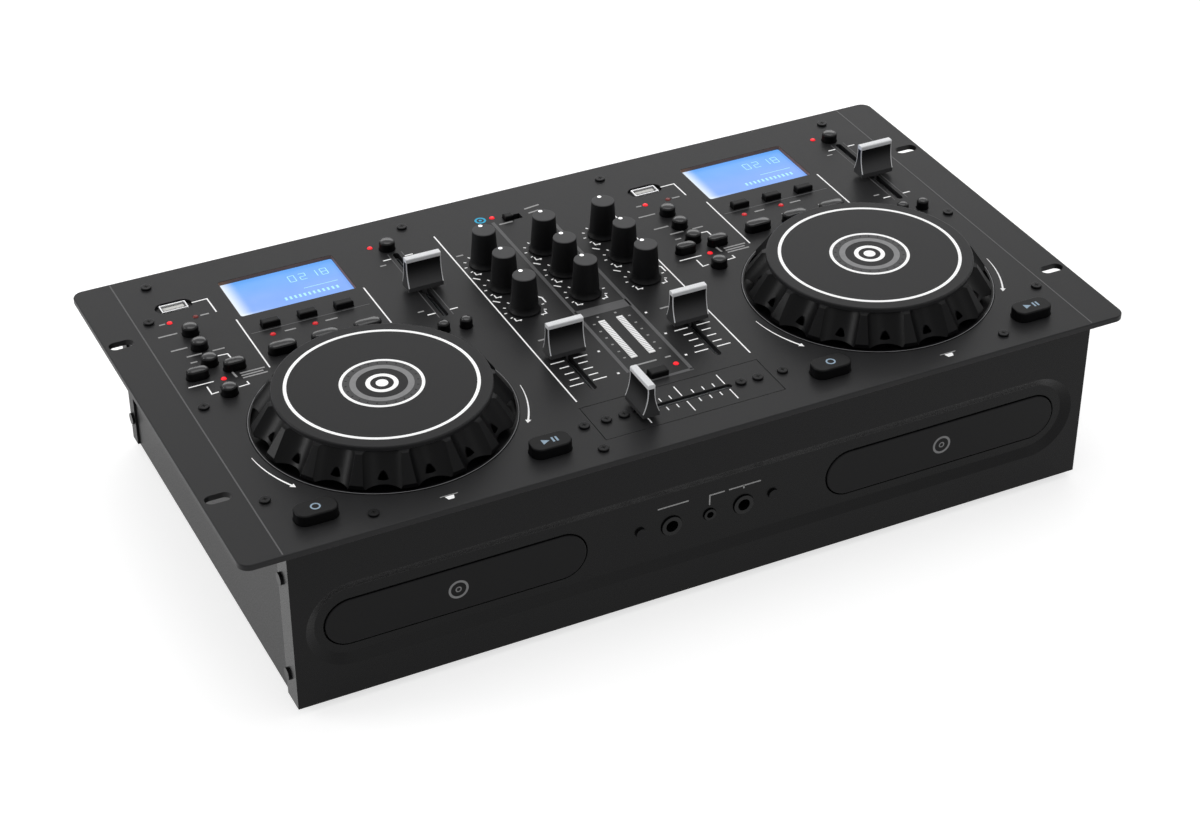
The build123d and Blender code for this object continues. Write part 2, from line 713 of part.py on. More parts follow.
for side, across in decks.items():
    with BuildPart() as source_keys:
        with BuildSketch(Plane.XY.offset(stem_bottom)):
            with Locations(*on_panel(round_source_spots, across)):
                Circle(key_round_radius)
            with Locations(*on_panel(oblong_source_spots, across)):
                SlotOverall(*oblong_key)
        extrude(amount=panel_top + key_rise - stem_bottom)
        fillet(source_keys.faces().group_by(Axis.Z)[-1].edges(), key_edge)
        with BuildSketch(Plane.XY.offset(lip_top)):
            with Locations(*on_panel(round_source_spots, across)):
                Circle(key_round_radius + key_lip)
            with Locations(*on_panel(oblong_source_spots, across)):
                SlotOverall(oblong_key[0] + 2 * key_lip, oblong_key[1] + 2 * key_lip)
        extrude(amount=-key_lip_thickness)
    source_keys.part.label = f"{side}_source_keys"
    export_step(source_keys.part, f"parts/{side}_source_keys.step")

    with BuildPart() as display_keys:
        with BuildSketch(Plane.XY.offset(stem_bottom)):
            with Locations(*on_panel(display_key_spots, across)):
                Rectangle(*display_key)
        extrude(amount=panel_top + low_key_rise - stem_bottom)
        fillet(display_keys.faces().group_by(Axis.Z)[-1].edges(), key_edge)
        with BuildSketch(Plane.XY.offset(lip_top)):
            with Locations(*on_panel(display_key_spots, across)):
                Rectangle(display_key[0] + 2 * key_lip, display_key[1] + 2 * key_lip)
        extrude(amount=-key_lip_thickness)
    display_keys.part.label = f"{side}_display_keys"
    export_step(display_keys.part, f"parts/{side}_display_keys.step")

    with BuildPart() as track_keys:
        with BuildSketch(Plane.XY.offset(stem_bottom)):
            with Locations(*on_panel(track_key_spots, across)):
                SlotOverall(*track_key)
        extrude(amount=panel_top + key_rise - stem_bottom)
        fillet(track_keys.faces().group_by(Axis.Z)[-1].edges(), key_edge)
        with BuildSketch(Plane.XY.offset(lip_top)):
            with Locations(*on_panel(track_key_spots, across)):
                SlotOverall(track_key[0] + 2 * key_lip, track_key[1] + 2 * key_lip)
        extrude(amount=-key_lip_thickness)
    track_keys.part.label = f"{side}_track_keys"
    export_step(track_keys.part, f"parts/{side}_track_keys.step")

    with BuildPart() as bend_keys:
        with Locations(*at_height(on_panel(bend_key_spots, across), stem_bottom)):
            Cylinder(small_key_radius, panel_top + key_rise - stem_bottom, align=on_base)
        fillet(bend_keys.faces().group_by(Axis.Z)[-1].edges(), key_edge)
        with Locations(*at_height(on_panel(bend_key_spots, across), lip_top)):
            Cylinder(small_key_radius + key_lip, key_lip_thickness, align=hung)
    bend_keys.part.label = f"{side}_bend_keys"
    export_step(bend_keys.part, f"parts/{side}_bend_keys.step")

    with BuildPart() as pitch_key:
        with Locations(*at_height(on_panel([pitch_key_spot], across), stem_bottom)):
            Cylinder(key_round_radius, panel_top + key_rise - stem_bottom, align=on_base)
        fillet(pitch_key.faces().sort_by(Axis.Z)[-1].edges(), key_edge)
        with Locations(*at_height(on_panel([pitch_key_spot], across), lip_top)):
            Cylinder(key_round_radius + key_lip, key_lip_thickness, align=hung)
    pitch_key.part.label = f"{side}_pitch_key"
    export_step(pitch_key.part, f"parts/{side}_pitch_key.step")

    for job, spot in {"cue": cue_spot, "play": play_spot}.items():
        with BuildPart() as transport_key:
            with BuildSketch(Plane.XY.offset(stem_bottom)):
                with Locations(*on_panel([spot], across)):
                    RectangleRounded(*cue_key, cue_key_corner)
            extrude(amount=panel_top + cue_key_rise - stem_bottom)
            fillet(transport_key.faces().sort_by(Axis.Z)[-1].edges(), key_edge)
            with BuildSketch(Plane.XY.offset(lip_top)):
                with Locations(*on_panel([spot], across)):
                    RectangleRounded(cue_key[0] + 2 * key_lip, cue_key[1] + 2 * key_lip,
                                     cue_key_corner + key_lip)
            extrude(amount=-key_lip_thickness)
        transport_key.part.label = f"{side}_{job}_button"
        export_step(transport_key.part, f"parts/{side}_{job}_button.step")

with BuildPart() as mixer_button:
    with BuildSketch(Plane.XY.offset(stem_bottom)):
        with Locations(*on_panel([mixer_button_spot])):
            Rectangle(*mixer_key)
    extrude(amount=panel_top + low_key_rise - stem_bottom)
    fillet(mixer_button.faces().sort_by(Axis.Z)[-1].edges(), key_edge)
    with BuildSketch(Plane.XY.offset(lip_top)):
        with Locations(*on_panel([mixer_button_spot])):
            Rectangle(mixer_key[0] + 2 * key_lip, mixer_key[1] + 2 * key_lip)
    extrude(amount=-key_lip_thickness)
mixer_button.part.label = "mixer_button"
export_step(mixer_button.part, "parts/mixer_button.step")

slide_rest = slide_switch_spot[0] - slide_opening[0] / 2 + slide_key[0] / 2 + seat_gap
with BuildPart() as slide_switch:
    with Locations(*at_height(on_panel([(slide_rest, slide_switch_spot[1])]), stem_bottom)):
        Box(slide_key[0], slide_key[1], panel_top + slide_rise - stem_bottom, align=on_base)
    fillet(slide_switch.faces().sort_by(Axis.Z)[-1].edges(), key_edge)
    with Locations(*at_height(on_panel([(slide_rest, slide_switch_spot[1])]), lip_top)):
        Box(slide_key[0] + 2 * slide_lip, slide_key[1] + 2 * slide_lip, key_lip_thickness, align=hung)
slide_switch.part.label = "slide_switch"
export_step(slide_switch.part, "parts/slide_switch.step")


# ---- knobs ---------------------------------------------------------------------------

for column, knob_x in knob_columns.items():
    for row, row_y in knob_rows.items():
        knob_y = front_edge + row_y
        with BuildPart() as knob:
            with BuildSketch(Plane(origin=(knob_x, knob_y, panel_top), x_dir=(1, 0, 0),
                                   z_dir=(0, -1, 0))):
                with BuildLine():
                    Polyline(
                        (knob_foot_radius, knob_skirt_height),
                        (knob_top_radius, knob_height),
                        (0, knob_height),
                        (0, knob_socket_top),
                        (shaft_radius + fit_gap, knob_socket_top),
                        (shaft_radius + fit_gap, knob_skirt_height - knob_float),
                        (knob_foot_radius - 1.2, knob_skirt_height - knob_float),
                        (knob_foot_radius - 1.2, knob_float),
                        (knob_base_radius, knob_float),
                    )
                    ThreePointArc(
                        (knob_base_radius, knob_float),
                        (knob_foot_radius + 0.25, knob_skirt_height / 2),
                        (knob_foot_radius, knob_skirt_height),
                    )
                make_face()
            revolve(axis=Axis((knob_x, knob_y, 0), (0, 0, 1)))
            fillet(knob.faces().sort_by(Axis.Z)[-1].edges(), screw_head_round)
            with Locations((knob_x, knob_y + knob_dot_reach, panel_top + knob_height)):
                Cylinder(knob_dot_radius, screw_head_round, align=hung, mode=Mode.SUBTRACT)
            with Locations((knob_x, knob_y, board_top + fit_gap + 1)):
                Cylinder(shaft_radius, panel_top + knob_socket_top - board_top - seat_gap - 1,
                         align=on_base)
        knob.part.label = f"{column}_{row}_knob"
        export_step(knob.part, f"parts/{column}_{row}_knob.step")

knob_places = on_panel([(x, y) for x in knob_columns.values() for y in knob_rows.values()])
with BuildPart() as potentiometers:
    with Locations(*at_height(knob_places, board_top + fit_gap)):
        Box(*pot_body, align=on_base)
        Cylinder(bushing_radius, panel_top + bushing_rise - board_top, align=on_base)
    with Locations(*at_height(knob_places, panel_top + bushing_rise + fit_gap)):
        Hole(shaft_radius + fit_gap, panel_top + bushing_rise - board_top - 1)
potentiometers.part.label = "potentiometers"
export_step(potentiometers.part, "parts/potentiometers.step")


# ---- faders --------------------------------------------------------------------------

# name: where the cap rests, and the way it travels
faders = {f"{side}_pitch_fader": (on_panel([(pitch_fader_x, pitch_fader_rest)], across)[0], "back")
          for side, across in decks.items()}
for side, across in channel_faders.items():
    rest = (across, channel_fader_low + channel_fader_travel)
    faders[f"{side}_channel_fader"] = (on_panel([rest])[0], "back")
faders["crossfader"] = ((-crossfader_travel / 2, crossfader_row), "across")
cap_height = cap_top - cap_float

for name, ((cap_x, cap_y), way) in faders.items():
    if way == "back":
        cap_plane = Plane(origin=(cap_x, cap_y, panel_top + cap_float), x_dir=(0, 1, 0), z_dir=(1, 0, 0))
        lever_box = (lever[1], lever[0])
    else:
        cap_plane = Plane(origin=(cap_x, cap_y, panel_top + cap_float), x_dir=(1, 0, 0), z_dir=(0, -1, 0))
        lever_box = lever
    with BuildPart() as fader:
        with BuildSketch(cap_plane):
            with BuildLine():
                half = Polyline(
                    (0, 0),
                    (cap_base / 2, 0),
                    (cap_base / 2, cap_foot),
                )
                side_curve = ThreePointArc(
                    (cap_base / 2, cap_foot),
                    (cap_waist / 2, cap_height * 0.5),
                    (cap_blade / 2, cap_height - cap_blade / 2),
                )
                tip = Line(side_curve @ 1, (cap_blade / 2, cap_height))
                Line(tip @ 1, (0, cap_height))
                mirror(about=Plane.YZ)
            make_face()
        extrude(amount=cap_width / 2, both=True)
        fillet(fader.faces().sort_by(Axis.Z)[-1].edges(), key_edge)
        with Locations((cap_x, cap_y, panel_top + cap_float)):
            Box(lever_box[0] + 2 * fit_gap, lever_box[1] + 2 * fit_gap, lever_grip + fit_gap,
                align=on_base, mode=Mode.SUBTRACT)
        with Locations((cap_x, cap_y, panel_under - lever_depth)):
            Box(*lever_box, lever_depth + panel_thickness + cap_float + lever_grip, align=on_base)
    fader.part.label = name
    export_step(fader.part, f"parts/{name}.step")

slot_width = lever[1] + 2 * seat_gap
with BuildPart() as fader_units:
    long_slots = [((across + pitch_fader_x, front_edge + pitch_fader_low + pitch_fader_travel / 2),
                   pitch_fader_travel) for across in decks.values()]
    long_slots += [((across, front_edge + channel_fader_low + channel_fader_travel / 2),
                    channel_fader_travel) for across in channel_faders.values()]
    for (unit_x, unit_y), travel in long_slots:
        with Locations((unit_x, unit_y, board_top + fit_gap)):
            Box(fader_body_width, travel + lever[0] + fader_body_spare,
                panel_under - board_top - 2 * fit_gap, align=on_base)
        with Locations((unit_x, unit_y, panel_under)):
            Box(slot_width, travel + lever[0] + spread, lever_depth + seat_gap, align=hung,
                mode=Mode.SUBTRACT)
    with Locations((0, crossfader_row, panel_top - crossfader_plate_thickness - fit_gap)):
        Box(crossfader_travel + lever[0] + fader_body_spare, fader_body_width,
            panel_top - crossfader_plate_thickness - 2 * fit_gap - board_top, align=hung)
        Box(2 * crossfader_screws_x[2] + 6, fader_body_width, sheet, align=hung)
        Box(crossfader_travel + lever[0] + spread, slot_width,
            panel_top - crossfader_plate_thickness - panel_under + lever_depth + seat_gap,
            align=hung, mode=Mode.SUBTRACT)
    with Locations(*at_height([(x, crossfader_row) for x in crossfader_screws_x[1:3]],
                              panel_top - crossfader_plate_thickness)):
        Hole(screw_hole, panel_screw_length)
fader_units.part.label = "fader_units"
export_step(fader_units.part, "parts/fader_units.step")


# ---- disc trays and loaders ----------------------------------------------------------

bezel_face = front_face + dish_depth - bezel_proud
tray_front = bezel_face + bezel_thickness
tray_bottom = tray_height - tray_drop
tray_top = tray_bottom + tray_thickness
disc_y = tray_front + disc_margin + disc_radius + disc_play
loader_front = tray_front + loader_start
loader_half = tray_width / 2 + seat_gap
tray_columns = {"left": -tray_spacing / 2, "right": tray_spacing / 2}

for side, tray_x in tray_columns.items():
    with BuildPart() as tray_bezel:
        with BuildSketch(Plane.XZ.offset(-bezel_face)):
            with Locations((tray_x, tray_height)):
                SlotOverall(*bezel_size)
        extrude(amount=-bezel_thickness)
        fillet(tray_bezel.faces().sort_by(Axis.Y)[0].edges(), bezel_edge)
    tray_bezel.part.label = f"{side}_tray_bezel"
    export_step(tray_bezel.part, f"parts/{side}_tray_bezel.step")

    with BuildPart() as disc_tray:
        with Locations((tray_x, tray_front, tray_bottom)):
            Box(tray_width, tray_length, tray_thickness, align=wall_low)
        with Locations((tray_x, disc_y, tray_top)):
            Cylinder(disc_radius + disc_play, disc_recess, align=hung, mode=Mode.SUBTRACT)
            Cylinder(small_disc_radius, small_disc_recess, align=hung, mode=Mode.SUBTRACT)
        with BuildSketch(Plane.XY.offset(tray_bottom)):
            with Locations((tray_x, disc_y)):
                Circle(tray_slot_reach)
            with Locations((tray_x, disc_y)):
                Rectangle(2 * tray_slot_reach, tray_front + tray_length - disc_y,
                          align=(Align.CENTER, Align.MIN))
        extrude(amount=tray_thickness, mode=Mode.SUBTRACT)
    disc_tray.part.label = f"{side}_disc_tray"
    export_step(disc_tray.part, f"parts/{side}_disc_tray.step")

loader_base = loader_base_height + loader_base_thickness
motor_bottom = loader_base + fit_gap
hub_bottom = motor_bottom + motor_height + seat_gap
with BuildPart() as disc_loaders:
    for tray_x in tray_columns.values():
        with Locations((tray_x, loader_front, loader_base_height)):
            Box(2 * loader_half + 2 * loader_wall, loader_length, loader_base_thickness, align=wall_low)
        for end in (-1, 1):
            with Locations((tray_x + end * (loader_half + loader_wall / 2), loader_front, case_floor)):
                Box(loader_wall, loader_length, loader_top - case_floor, align=wall_low)
            with Locations((tray_x + end * (loader_half - loader_rail[0] / 2), loader_front,
                            tray_bottom - seat_gap - loader_rail[1])):
                Box(loader_rail[0], loader_length, loader_rail[1], align=wall_low)
            with Locations((tray_x + end * (loader_half - loader_cover_rail[0] / 2), loader_front,
                            tray_top + seat_gap)):
                Box(loader_cover_rail[0], loader_length, loader_cover_rail[1], align=wall_low)
            with Locations((tray_x + end * rod_spread, disc_y + rod_start, loader_base),
                           (tray_x + end * rod_spread, disc_y + rod_start + rod_length, loader_base)):
                Box(rod_post, rod_post, rod_height + rod_post / 2, align=on_base)
        with Locations((tray_x, disc_y, loader_top)):
            Box(2 * loader_half + 2 * loader_wall, bridge_width, bridge_thickness, align=on_base)
            Cylinder(bridge_hole, bridge_thickness, align=on_base, mode=Mode.SUBTRACT)
        with Locations((tray_x, disc_y, motor_bottom)):
            Cylinder(motor_radius, motor_height, align=on_base)
            Cylinder(spindle_radius, tray_bottom - seat_gap - motor_bottom - fit_gap, align=on_base)
        with Locations((tray_x, disc_y + pickup_spot, loader_base + pickup_lift)):
            Box(*pickup_size, align=on_base)
            Cylinder(pickup_lens_radius, pickup_size[2] + pickup_lens_rise, align=on_base)
        rod_middle = disc_y + rod_start + rod_length / 2
        with Locations((tray_x - rod_spread, rod_middle, loader_base + rod_height),
                       (tray_x + rod_spread, rod_middle, loader_base + rod_height)):
            Cylinder(rod_radius + fit_gap, rod_length - rod_post, rotation=(90, 0, 0),
                     mode=Mode.SUBTRACT)
            Cylinder(rod_radius, rod_length, rotation=(90, 0, 0))
disc_loaders.part.label = "disc_loaders"
export_step(disc_loaders.part, "parts/disc_loaders.step")

for side, tray_x in tray_columns.items():
    with BuildPart() as drive_hub:
        with BuildSketch(Plane(origin=(tray_x, disc_y, 0), x_dir=(1, 0, 0), z_dir=(0, -1, 0))):
            with BuildLine():
                Polyline(
                    (spindle_radius + fit_gap, hub_bottom),
                    (spindle_hub_radius, hub_bottom),
                    (spindle_hub_radius, hub_bottom + spindle_hub_thickness),
                    (hub_cone_radius, hub_bottom + spindle_hub_thickness),
                    (hub_cone_tip, tray_bottom - seat_gap),
                    (spindle_radius + fit_gap, tray_bottom - seat_gap),
                    close=True,
                )
            make_face()
            with BuildLine():
                Polyline(
                    (0, loader_top - seat_gap - puck_plate),
                    (puck_radius, loader_top - seat_gap - puck_plate),
                    (puck_radius, loader_top - seat_gap),
                    (puck_neck, loader_top - seat_gap),
                    (puck_neck, loader_top + bridge_thickness + seat_gap),
                    (puck_flange, loader_top + bridge_thickness + seat_gap),
                    (puck_flange, loader_top + bridge_thickness + seat_gap + puck_plate),
                    (0, loader_top + bridge_thickness + seat_gap + puck_plate),
                    close=True,
                )
            make_face()
        revolve(axis=Axis((tray_x, disc_y, 0), (0, 0, 1)))
    drive_hub.part.label = f"{side}_drive_hub"
    export_step(drive_hub.part, f"parts/{side}_drive_hub.step")


# ---- circuit boards and supply -------------------------------------------------------

key_switch_places = []
deep_switch_places = []
for across in decks.values():
    key_switch_places += on_panel(round_source_spots + oblong_source_spots + display_key_spots
                                  + track_key_spots + bend_key_spots + [pitch_key_spot], across)
    deep_switch_places += on_panel([cue_spot, play_spot], across)
key_switch_places += on_panel([mixer_button_spot])
board_length = board_rear - board_front

with BuildPart() as circuit_boards:
    for across in decks.values():
        middle = across + (deck_board_left + deck_board_right) / 2
        with Locations((middle, front_edge + board_front, board_height)):
            Box(deck_board_right - deck_board_left, board_length, board_thickness, align=wall_low)
    with Locations((0, front_edge + board_front, board_height)):
        Box(2 * mixer_board_half, board_length, board_thickness, align=wall_low)
    with Locations(*at_height(key_switch_places + deep_switch_places, board_top)):
        Box(switch_size, switch_size, switch_body, align=on_base)
    with Locations(*at_height(key_switch_places, board_top)):
        Cylinder(plunger_radius, stem_bottom - key_travel - seat_gap - board_top, align=on_base)
    with Locations(*at_height(deep_switch_places, board_top)):
        Cylinder(plunger_radius, stem_bottom - cue_key_travel - seat_gap - board_top, align=on_base)
    with Locations(*at_height(on_panel([slide_switch_spot]), board_top)):
        Box(slide_opening[0], slide_opening[1], stem_bottom - seat_gap - board_top, align=on_base)
    with Locations(*at_height(on_panel(mixer_screw_spots), board_top)):
        Cylinder(spacer_radius, panel_under - board_top, align=on_base)
    with Locations(*at_height(on_panel(mixer_screw_spots), panel_under)):
        Hole(screw_hole, panel_under - board_top)
    with Locations((*main_board_middle, case_floor + post_height)):
        Box(*main_board, board_thickness, align=on_base)
        with Locations((-20, 20, board_thickness), (22, -30, board_thickness)):
            Box(24, 24, 2.2, align=on_base)
        with GridLocations(14, 40, 3, 2):
            Cylinder(4, board_thickness + 11, align=on_base)
circuit_boards.part.label = "circuit_boards"
export_step(circuit_boards.part, "parts/circuit_boards.step")

with BuildPart() as power_supply:
    with Locations((*supply_middle, case_floor + post_height)):
        Box(*supply_board, board_thickness, align=on_base)
        with Locations((-6, 0, board_thickness)):
            Box(36, 32, 26, align=on_base)
        with Locations((30, 8, board_thickness), (30, -12, board_thickness)):
            Cylinder(8, 22, align=on_base)
        with Locations((-38, 0, board_thickness)):
            Box(4, 40, 24, align=on_base)
power_supply.part.label = "power_supply"
export_step(power_supply.part, "parts/power_supply.step")


# ---- sockets -------------------------------------------------------------------------

jack_front = front_face + dish_depth - jack_nose_proud
with BuildPart() as front_jacks:
    for jack_x in front_jack_x.values():
        with BuildSketch(Plane.XZ.offset(-jack_front)):
            with Locations((jack_x, jack_height)):
                Circle(jack_nose_radius)
        extrude(amount=-jack_bore_depth)
        with Locations((jack_x, dish_back + jack_bracket[2] + seat_gap, jack_height - jack_block / 2)):
            Box(jack_block, jack_bore_depth, jack_block, align=wall_low)
        with BuildSketch(Plane.XZ.offset(-jack_front)):
            with Locations((jack_x, jack_height)):
                Circle(jack_bore_radius)
        extrude(amount=-jack_bore_depth, mode=Mode.SUBTRACT)
    with BuildSketch(Plane.XZ.offset(-jack_front)):
        with Locations((small_jack_x, jack_height)):
            Circle(small_nose_radius)
    extrude(amount=-small_bore_depth)
    with Locations((small_jack_x, dish_back + jack_bracket[2] + seat_gap,
                    jack_height - small_jack_block / 2)):
        Box(small_jack_block, small_bore_depth, small_jack_block, align=wall_low)
    with BuildSketch(Plane.XZ.offset(-jack_front)):
        with Locations((small_jack_x, jack_height)):
            Circle(small_bore_radius)
    extrude(amount=-small_bore_depth, mode=Mode.SUBTRACT)
    with BuildSketch(Plane.XZ.offset(-dish_back)):
        with Locations((0, dish_height)):
            Rectangle(jack_bracket[0], jack_bracket[1])
        with Locations(*[(x, jack_height) for x in front_jack_x.values()]):
            Circle(jack_nose_radius + close_gap, mode=Mode.SUBTRACT)
        with Locations((small_jack_x, jack_height)):
            Circle(small_nose_radius + close_gap, mode=Mode.SUBTRACT)
        with Locations(*[(x, dish_height) for x in front_screw_x]):
            Circle(screw_hole, mode=Mode.SUBTRACT)
    extrude(amount=-jack_bracket[2])
front_jacks.part.label = "front_jacks"
export_step(front_jacks.part, "parts/front_jacks.step")

with BuildPart() as rear_jacks:
    with BuildSketch(Plane.XZ.offset(-rear_face + 2 * sheet)):
        with Locations(*rear_jack_places):
            Circle(rear_jack_collar[0])
    extrude(amount=-rear_jack_collar[1] - 2 * sheet)
    with BuildSketch(Plane.XZ.offset(-rear_face)):
        with Locations(*rear_jack_places):
            Circle(rear_jack_radius)
    extrude(amount=-rear_jack_proud)
    with Locations(*[(x, rear_face - sheet - fit_gap, row) for x, row in rear_jack_places]):
        Box(rear_jack_block[0], rear_jack_block[1], rear_jack_block[2],
            align=(Align.CENTER, Align.MAX, Align.CENTER))
    with BuildSketch(Plane.XZ.offset(-rear_face - rear_jack_proud)):
        with Locations(*rear_jack_places):
            Circle(rear_jack_bore)
    extrude(amount=rear_jack_proud, mode=Mode.SUBTRACT)
rear_jacks.part.label = "rear_jacks"
export_step(rear_jacks.part, "parts/rear_jacks.step")

pivot_y = rear_face - rocker_pivot_depth
with BuildPart() as power_inlet:
    with BuildSketch(Plane.XZ.offset(-rear_face)):
        with Locations(inlet_place):
            Rectangle(*inlet_body)
    extrude(amount=inlet_depth)
    with BuildSketch(Plane.XZ.offset(-rear_face)):
        with Locations(inlet_place):
            RectangleRounded(inlet_flange[0], inlet_flange[1], 2)
    extrude(amount=-inlet_flange[2])
    with BuildSketch(Plane.XZ.offset(-rear_face - inlet_flange[2])):
        with Locations(inlet_place):
            Rectangle(*inlet_mouth)
    extrude(amount=inlet_cavity + inlet_flange[2], mode=Mode.SUBTRACT)
    with BuildSketch(Plane.XZ.offset(-rear_face + inlet_cavity)):
        with Locations(*[(inlet_place[0] + x, inlet_place[1] + z) for x, z in inlet_pin_spots]):
            Rectangle(inlet_pin[0], inlet_pin[1])
    extrude(amount=-inlet_pin[2])
    with BuildSketch(Plane.XZ.offset(-rear_face)):
        with Locations(rocker_place):
            Rectangle(*rocker_housing)
    extrude(amount=rocker_housing_depth)
    with BuildSketch(Plane.XZ.offset(-rear_face)):
        with Locations(rocker_place):
            Rectangle(rocker_flange[0], rocker_flange[1])
    extrude(amount=-rocker_flange[2])
    with BuildSketch(Plane.XZ.offset(-rear_face - rocker_flange[2])):
        with Locations(rocker_place):
            Rectangle(rocker_cavity[0], rocker_cavity[1])
    extrude(amount=rocker_cavity[2] + rocker_flange[2], mode=Mode.SUBTRACT)
    with Locations((rocker_place[0], pivot_y, rocker_place[1])):
        Cylinder(rocker_pin_radius, rocker_cavity[0], rotation=(0, 90, 0))
power_inlet.part.label = "power_inlet"
export_step(power_inlet.part, "parts/power_inlet.step")

rocker_lean = radians(rocker_tilt)
rocker_plane = Plane(origin=(rocker_place[0], pivot_y, rocker_place[1]),
                     x_dir=(0, sin(rocker_lean), cos(rocker_lean)), z_dir=(-1, 0, 0))
with BuildPart() as power_switch:
    with BuildSketch(rocker_plane):
        with BuildLine():
            Polyline(
                (-rocker_size[1] / 2, 2.6),
                (0, 1.8),
                (rocker_size[1] / 2, 2.6),
                (rocker_size[1] / 2, -0.5),
                (rocker_size[1] / 4, -5.0),
                (-rocker_size[1] / 4, -5.0),
                (-rocker_size[1] / 2, -0.5),
                close=True,
            )
        make_face()
        Circle(rocker_pin_radius + fit_gap, mode=Mode.SUBTRACT)
    extrude(amount=rocker_size[0] / 2, both=True)
power_switch.part.label = "power_switch"
export_step(power_switch.part, "parts/power_switch.step")
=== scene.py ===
import math

import bmesh
import bpy
from mathutils import Matrix, Vector


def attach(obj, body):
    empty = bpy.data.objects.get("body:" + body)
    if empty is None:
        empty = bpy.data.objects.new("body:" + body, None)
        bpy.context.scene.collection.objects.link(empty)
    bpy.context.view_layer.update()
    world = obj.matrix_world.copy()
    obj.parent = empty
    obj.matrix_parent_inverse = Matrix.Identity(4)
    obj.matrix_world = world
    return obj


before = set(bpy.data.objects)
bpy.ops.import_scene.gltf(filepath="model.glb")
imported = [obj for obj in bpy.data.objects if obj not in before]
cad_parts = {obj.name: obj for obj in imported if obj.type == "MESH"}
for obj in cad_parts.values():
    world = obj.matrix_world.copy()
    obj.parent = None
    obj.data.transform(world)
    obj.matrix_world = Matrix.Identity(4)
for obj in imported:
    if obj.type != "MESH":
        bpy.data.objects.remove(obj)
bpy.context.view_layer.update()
scene = bpy.context.scene
print("frame loaded:", len(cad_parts), "nodes")

# Sizes are in millimetres unless a name says otherwise. Places on the panel count x from the
# middle and y from the panel's front edge, as in the CAD.
mm = 0.001
panelTop = 96.0
frontEdge = -130.0
frontFace = -127.0
rearFace = 121.0
jogRow = 84.8  # the jogs' centres
buttonRow = 22.0  # the cue and play buttons
crossRow = 32.3  # the crossfader's slot
deckPlaces = {"left": -137.0, "right": 137.0}
knobColumns = {"left": -35.0, "middle": 0.0, "right": 35.0}
channelColumns = {"left": -35.0, "right": 35.0}
knobRows = {"rear": 192.0, "centre": 166.5, "front": 141.5}
ink = {"thickness": 0.05, "middle": 0.025}


def linear(hexColour):
    channels = [int(hexColour[i:i + 2], 16) / 255 for i in (1, 3, 5)]
    return [c / 12.92 if c <= 0.04045 else ((c + 0.055) / 1.055) ** 2.4 for c in channels] + [1.0]


def addNode(tree, kind, settings=None, inputs=None):
    # An input may be a value, a socket, or a node whose first output is meant.
    node = tree.nodes.new(kind)
    for name, value in (settings or {}).items():
        setattr(node, name, value)
    for name, value in (inputs or {}).items():
        if isinstance(value, bpy.types.Node):
            value = value.outputs[0]
        if isinstance(value, bpy.types.NodeSocket):
            tree.links.new(value, node.inputs[name])
        else:
            node.inputs[name].default_value = value
    return node


def finish(name, colour, roughness, mottle=0.12, mottleSize=30.0, grainSize=0.5, grainDepth=0.02,
           roughSpread=0.06, edge=0.25, metallic=0.0, coat=0.0, coatRoughness=0.1, specular=0.16,
           colourOf=None):
    # A surface with slow colour change, uneven roughness, fine grain and eased edges. Mottle, grain
    # and edge are in millimetres. Real grain is 0.05 to 0.2 mm and is drawn coarser, so that it shows.
    material = bpy.data.materials.new(name)
    material.use_nodes = True
    tree = material.node_tree
    tree.nodes.clear()
    where = addNode(tree, "ShaderNodeTexCoord").outputs["Object"]
    slow = addNode(tree, "ShaderNodeTexNoise", None,
                   {"Vector": where, "Scale": 1 / (mottleSize * mm), "Detail": 3.0})
    fine = addNode(tree, "ShaderNodeTexNoise", None,
                   {"Vector": where, "Scale": 1 / (grainSize * mm), "Detail": 2.0})
    base = linear(colour)
    dark = [c * (1 - mottle) for c in base[:3]] + [1.0]
    light = [c * (1 + mottle) for c in base[:3]] + [1.0]
    tint = addNode(tree, "ShaderNodeMix", {"data_type": "RGBA"},
                   {"Factor": slow, 6: dark, 7: light}).outputs[2]
    if colourOf:
        tint = colourOf(tree, where, tint)
    eased = addNode(tree, "ShaderNodeBevel", {"samples": 4}, {"Radius": edge * mm})
    bump = addNode(tree, "ShaderNodeBump", None,
                   {"Strength": 0.6, "Distance": grainDepth * mm, "Height": fine, "Normal": eased})
    rough = addNode(tree, "ShaderNodeMapRange", {"interpolation_type": "SMOOTHSTEP"},
                    {"Value": fine, "From Min": 0.25, "From Max": 0.75,
                     "To Min": roughness - roughSpread, "To Max": roughness + roughSpread})
    shader = addNode(tree, "ShaderNodeBsdfPrincipled", None,
                     {"Base Color": tint, "Roughness": rough, "Normal": bump, "Metallic": metallic,
                      "Coat Weight": coat, "Coat Roughness": coatRoughness,
                      "Specular IOR Level": specular})
    addNode(tree, "ShaderNodeOutputMaterial", None, {"Surface": shader})
    return material


def shaderOf(material):
    return next(n for n in material.node_tree.nodes if n.type == "BSDF_PRINCIPLED")


def lit(material, colour, strength):
    shader = shaderOf(material)
    shader.inputs["Emission Color"].default_value = linear(colour)
    shader.inputs["Emission Strength"].default_value = strength
    return material


def aboveHeight(height, colour, spread=0.3):
    # Gives the surface another colour above a height, such as on a moulded top; on the fader caps it
    # paints shade.
    def choose(tree, where, tint):
        axes = addNode(tree, "ShaderNodeSeparateXYZ", None, {0: where})
        share = addNode(tree, "ShaderNodeMapRange", {"interpolation_type": "SMOOTHSTEP"},
                        {"Value": axes.outputs["Z"], "From Min": (height - spread) * mm,
                         "From Max": height * mm, "To Min": 0.0, "To Max": 1.0})
        return addNode(tree, "ShaderNodeMix", {"data_type": "RGBA"},
                       {"Factor": share, 6: tint, 7: linear(colour)}).outputs[2]
    return choose


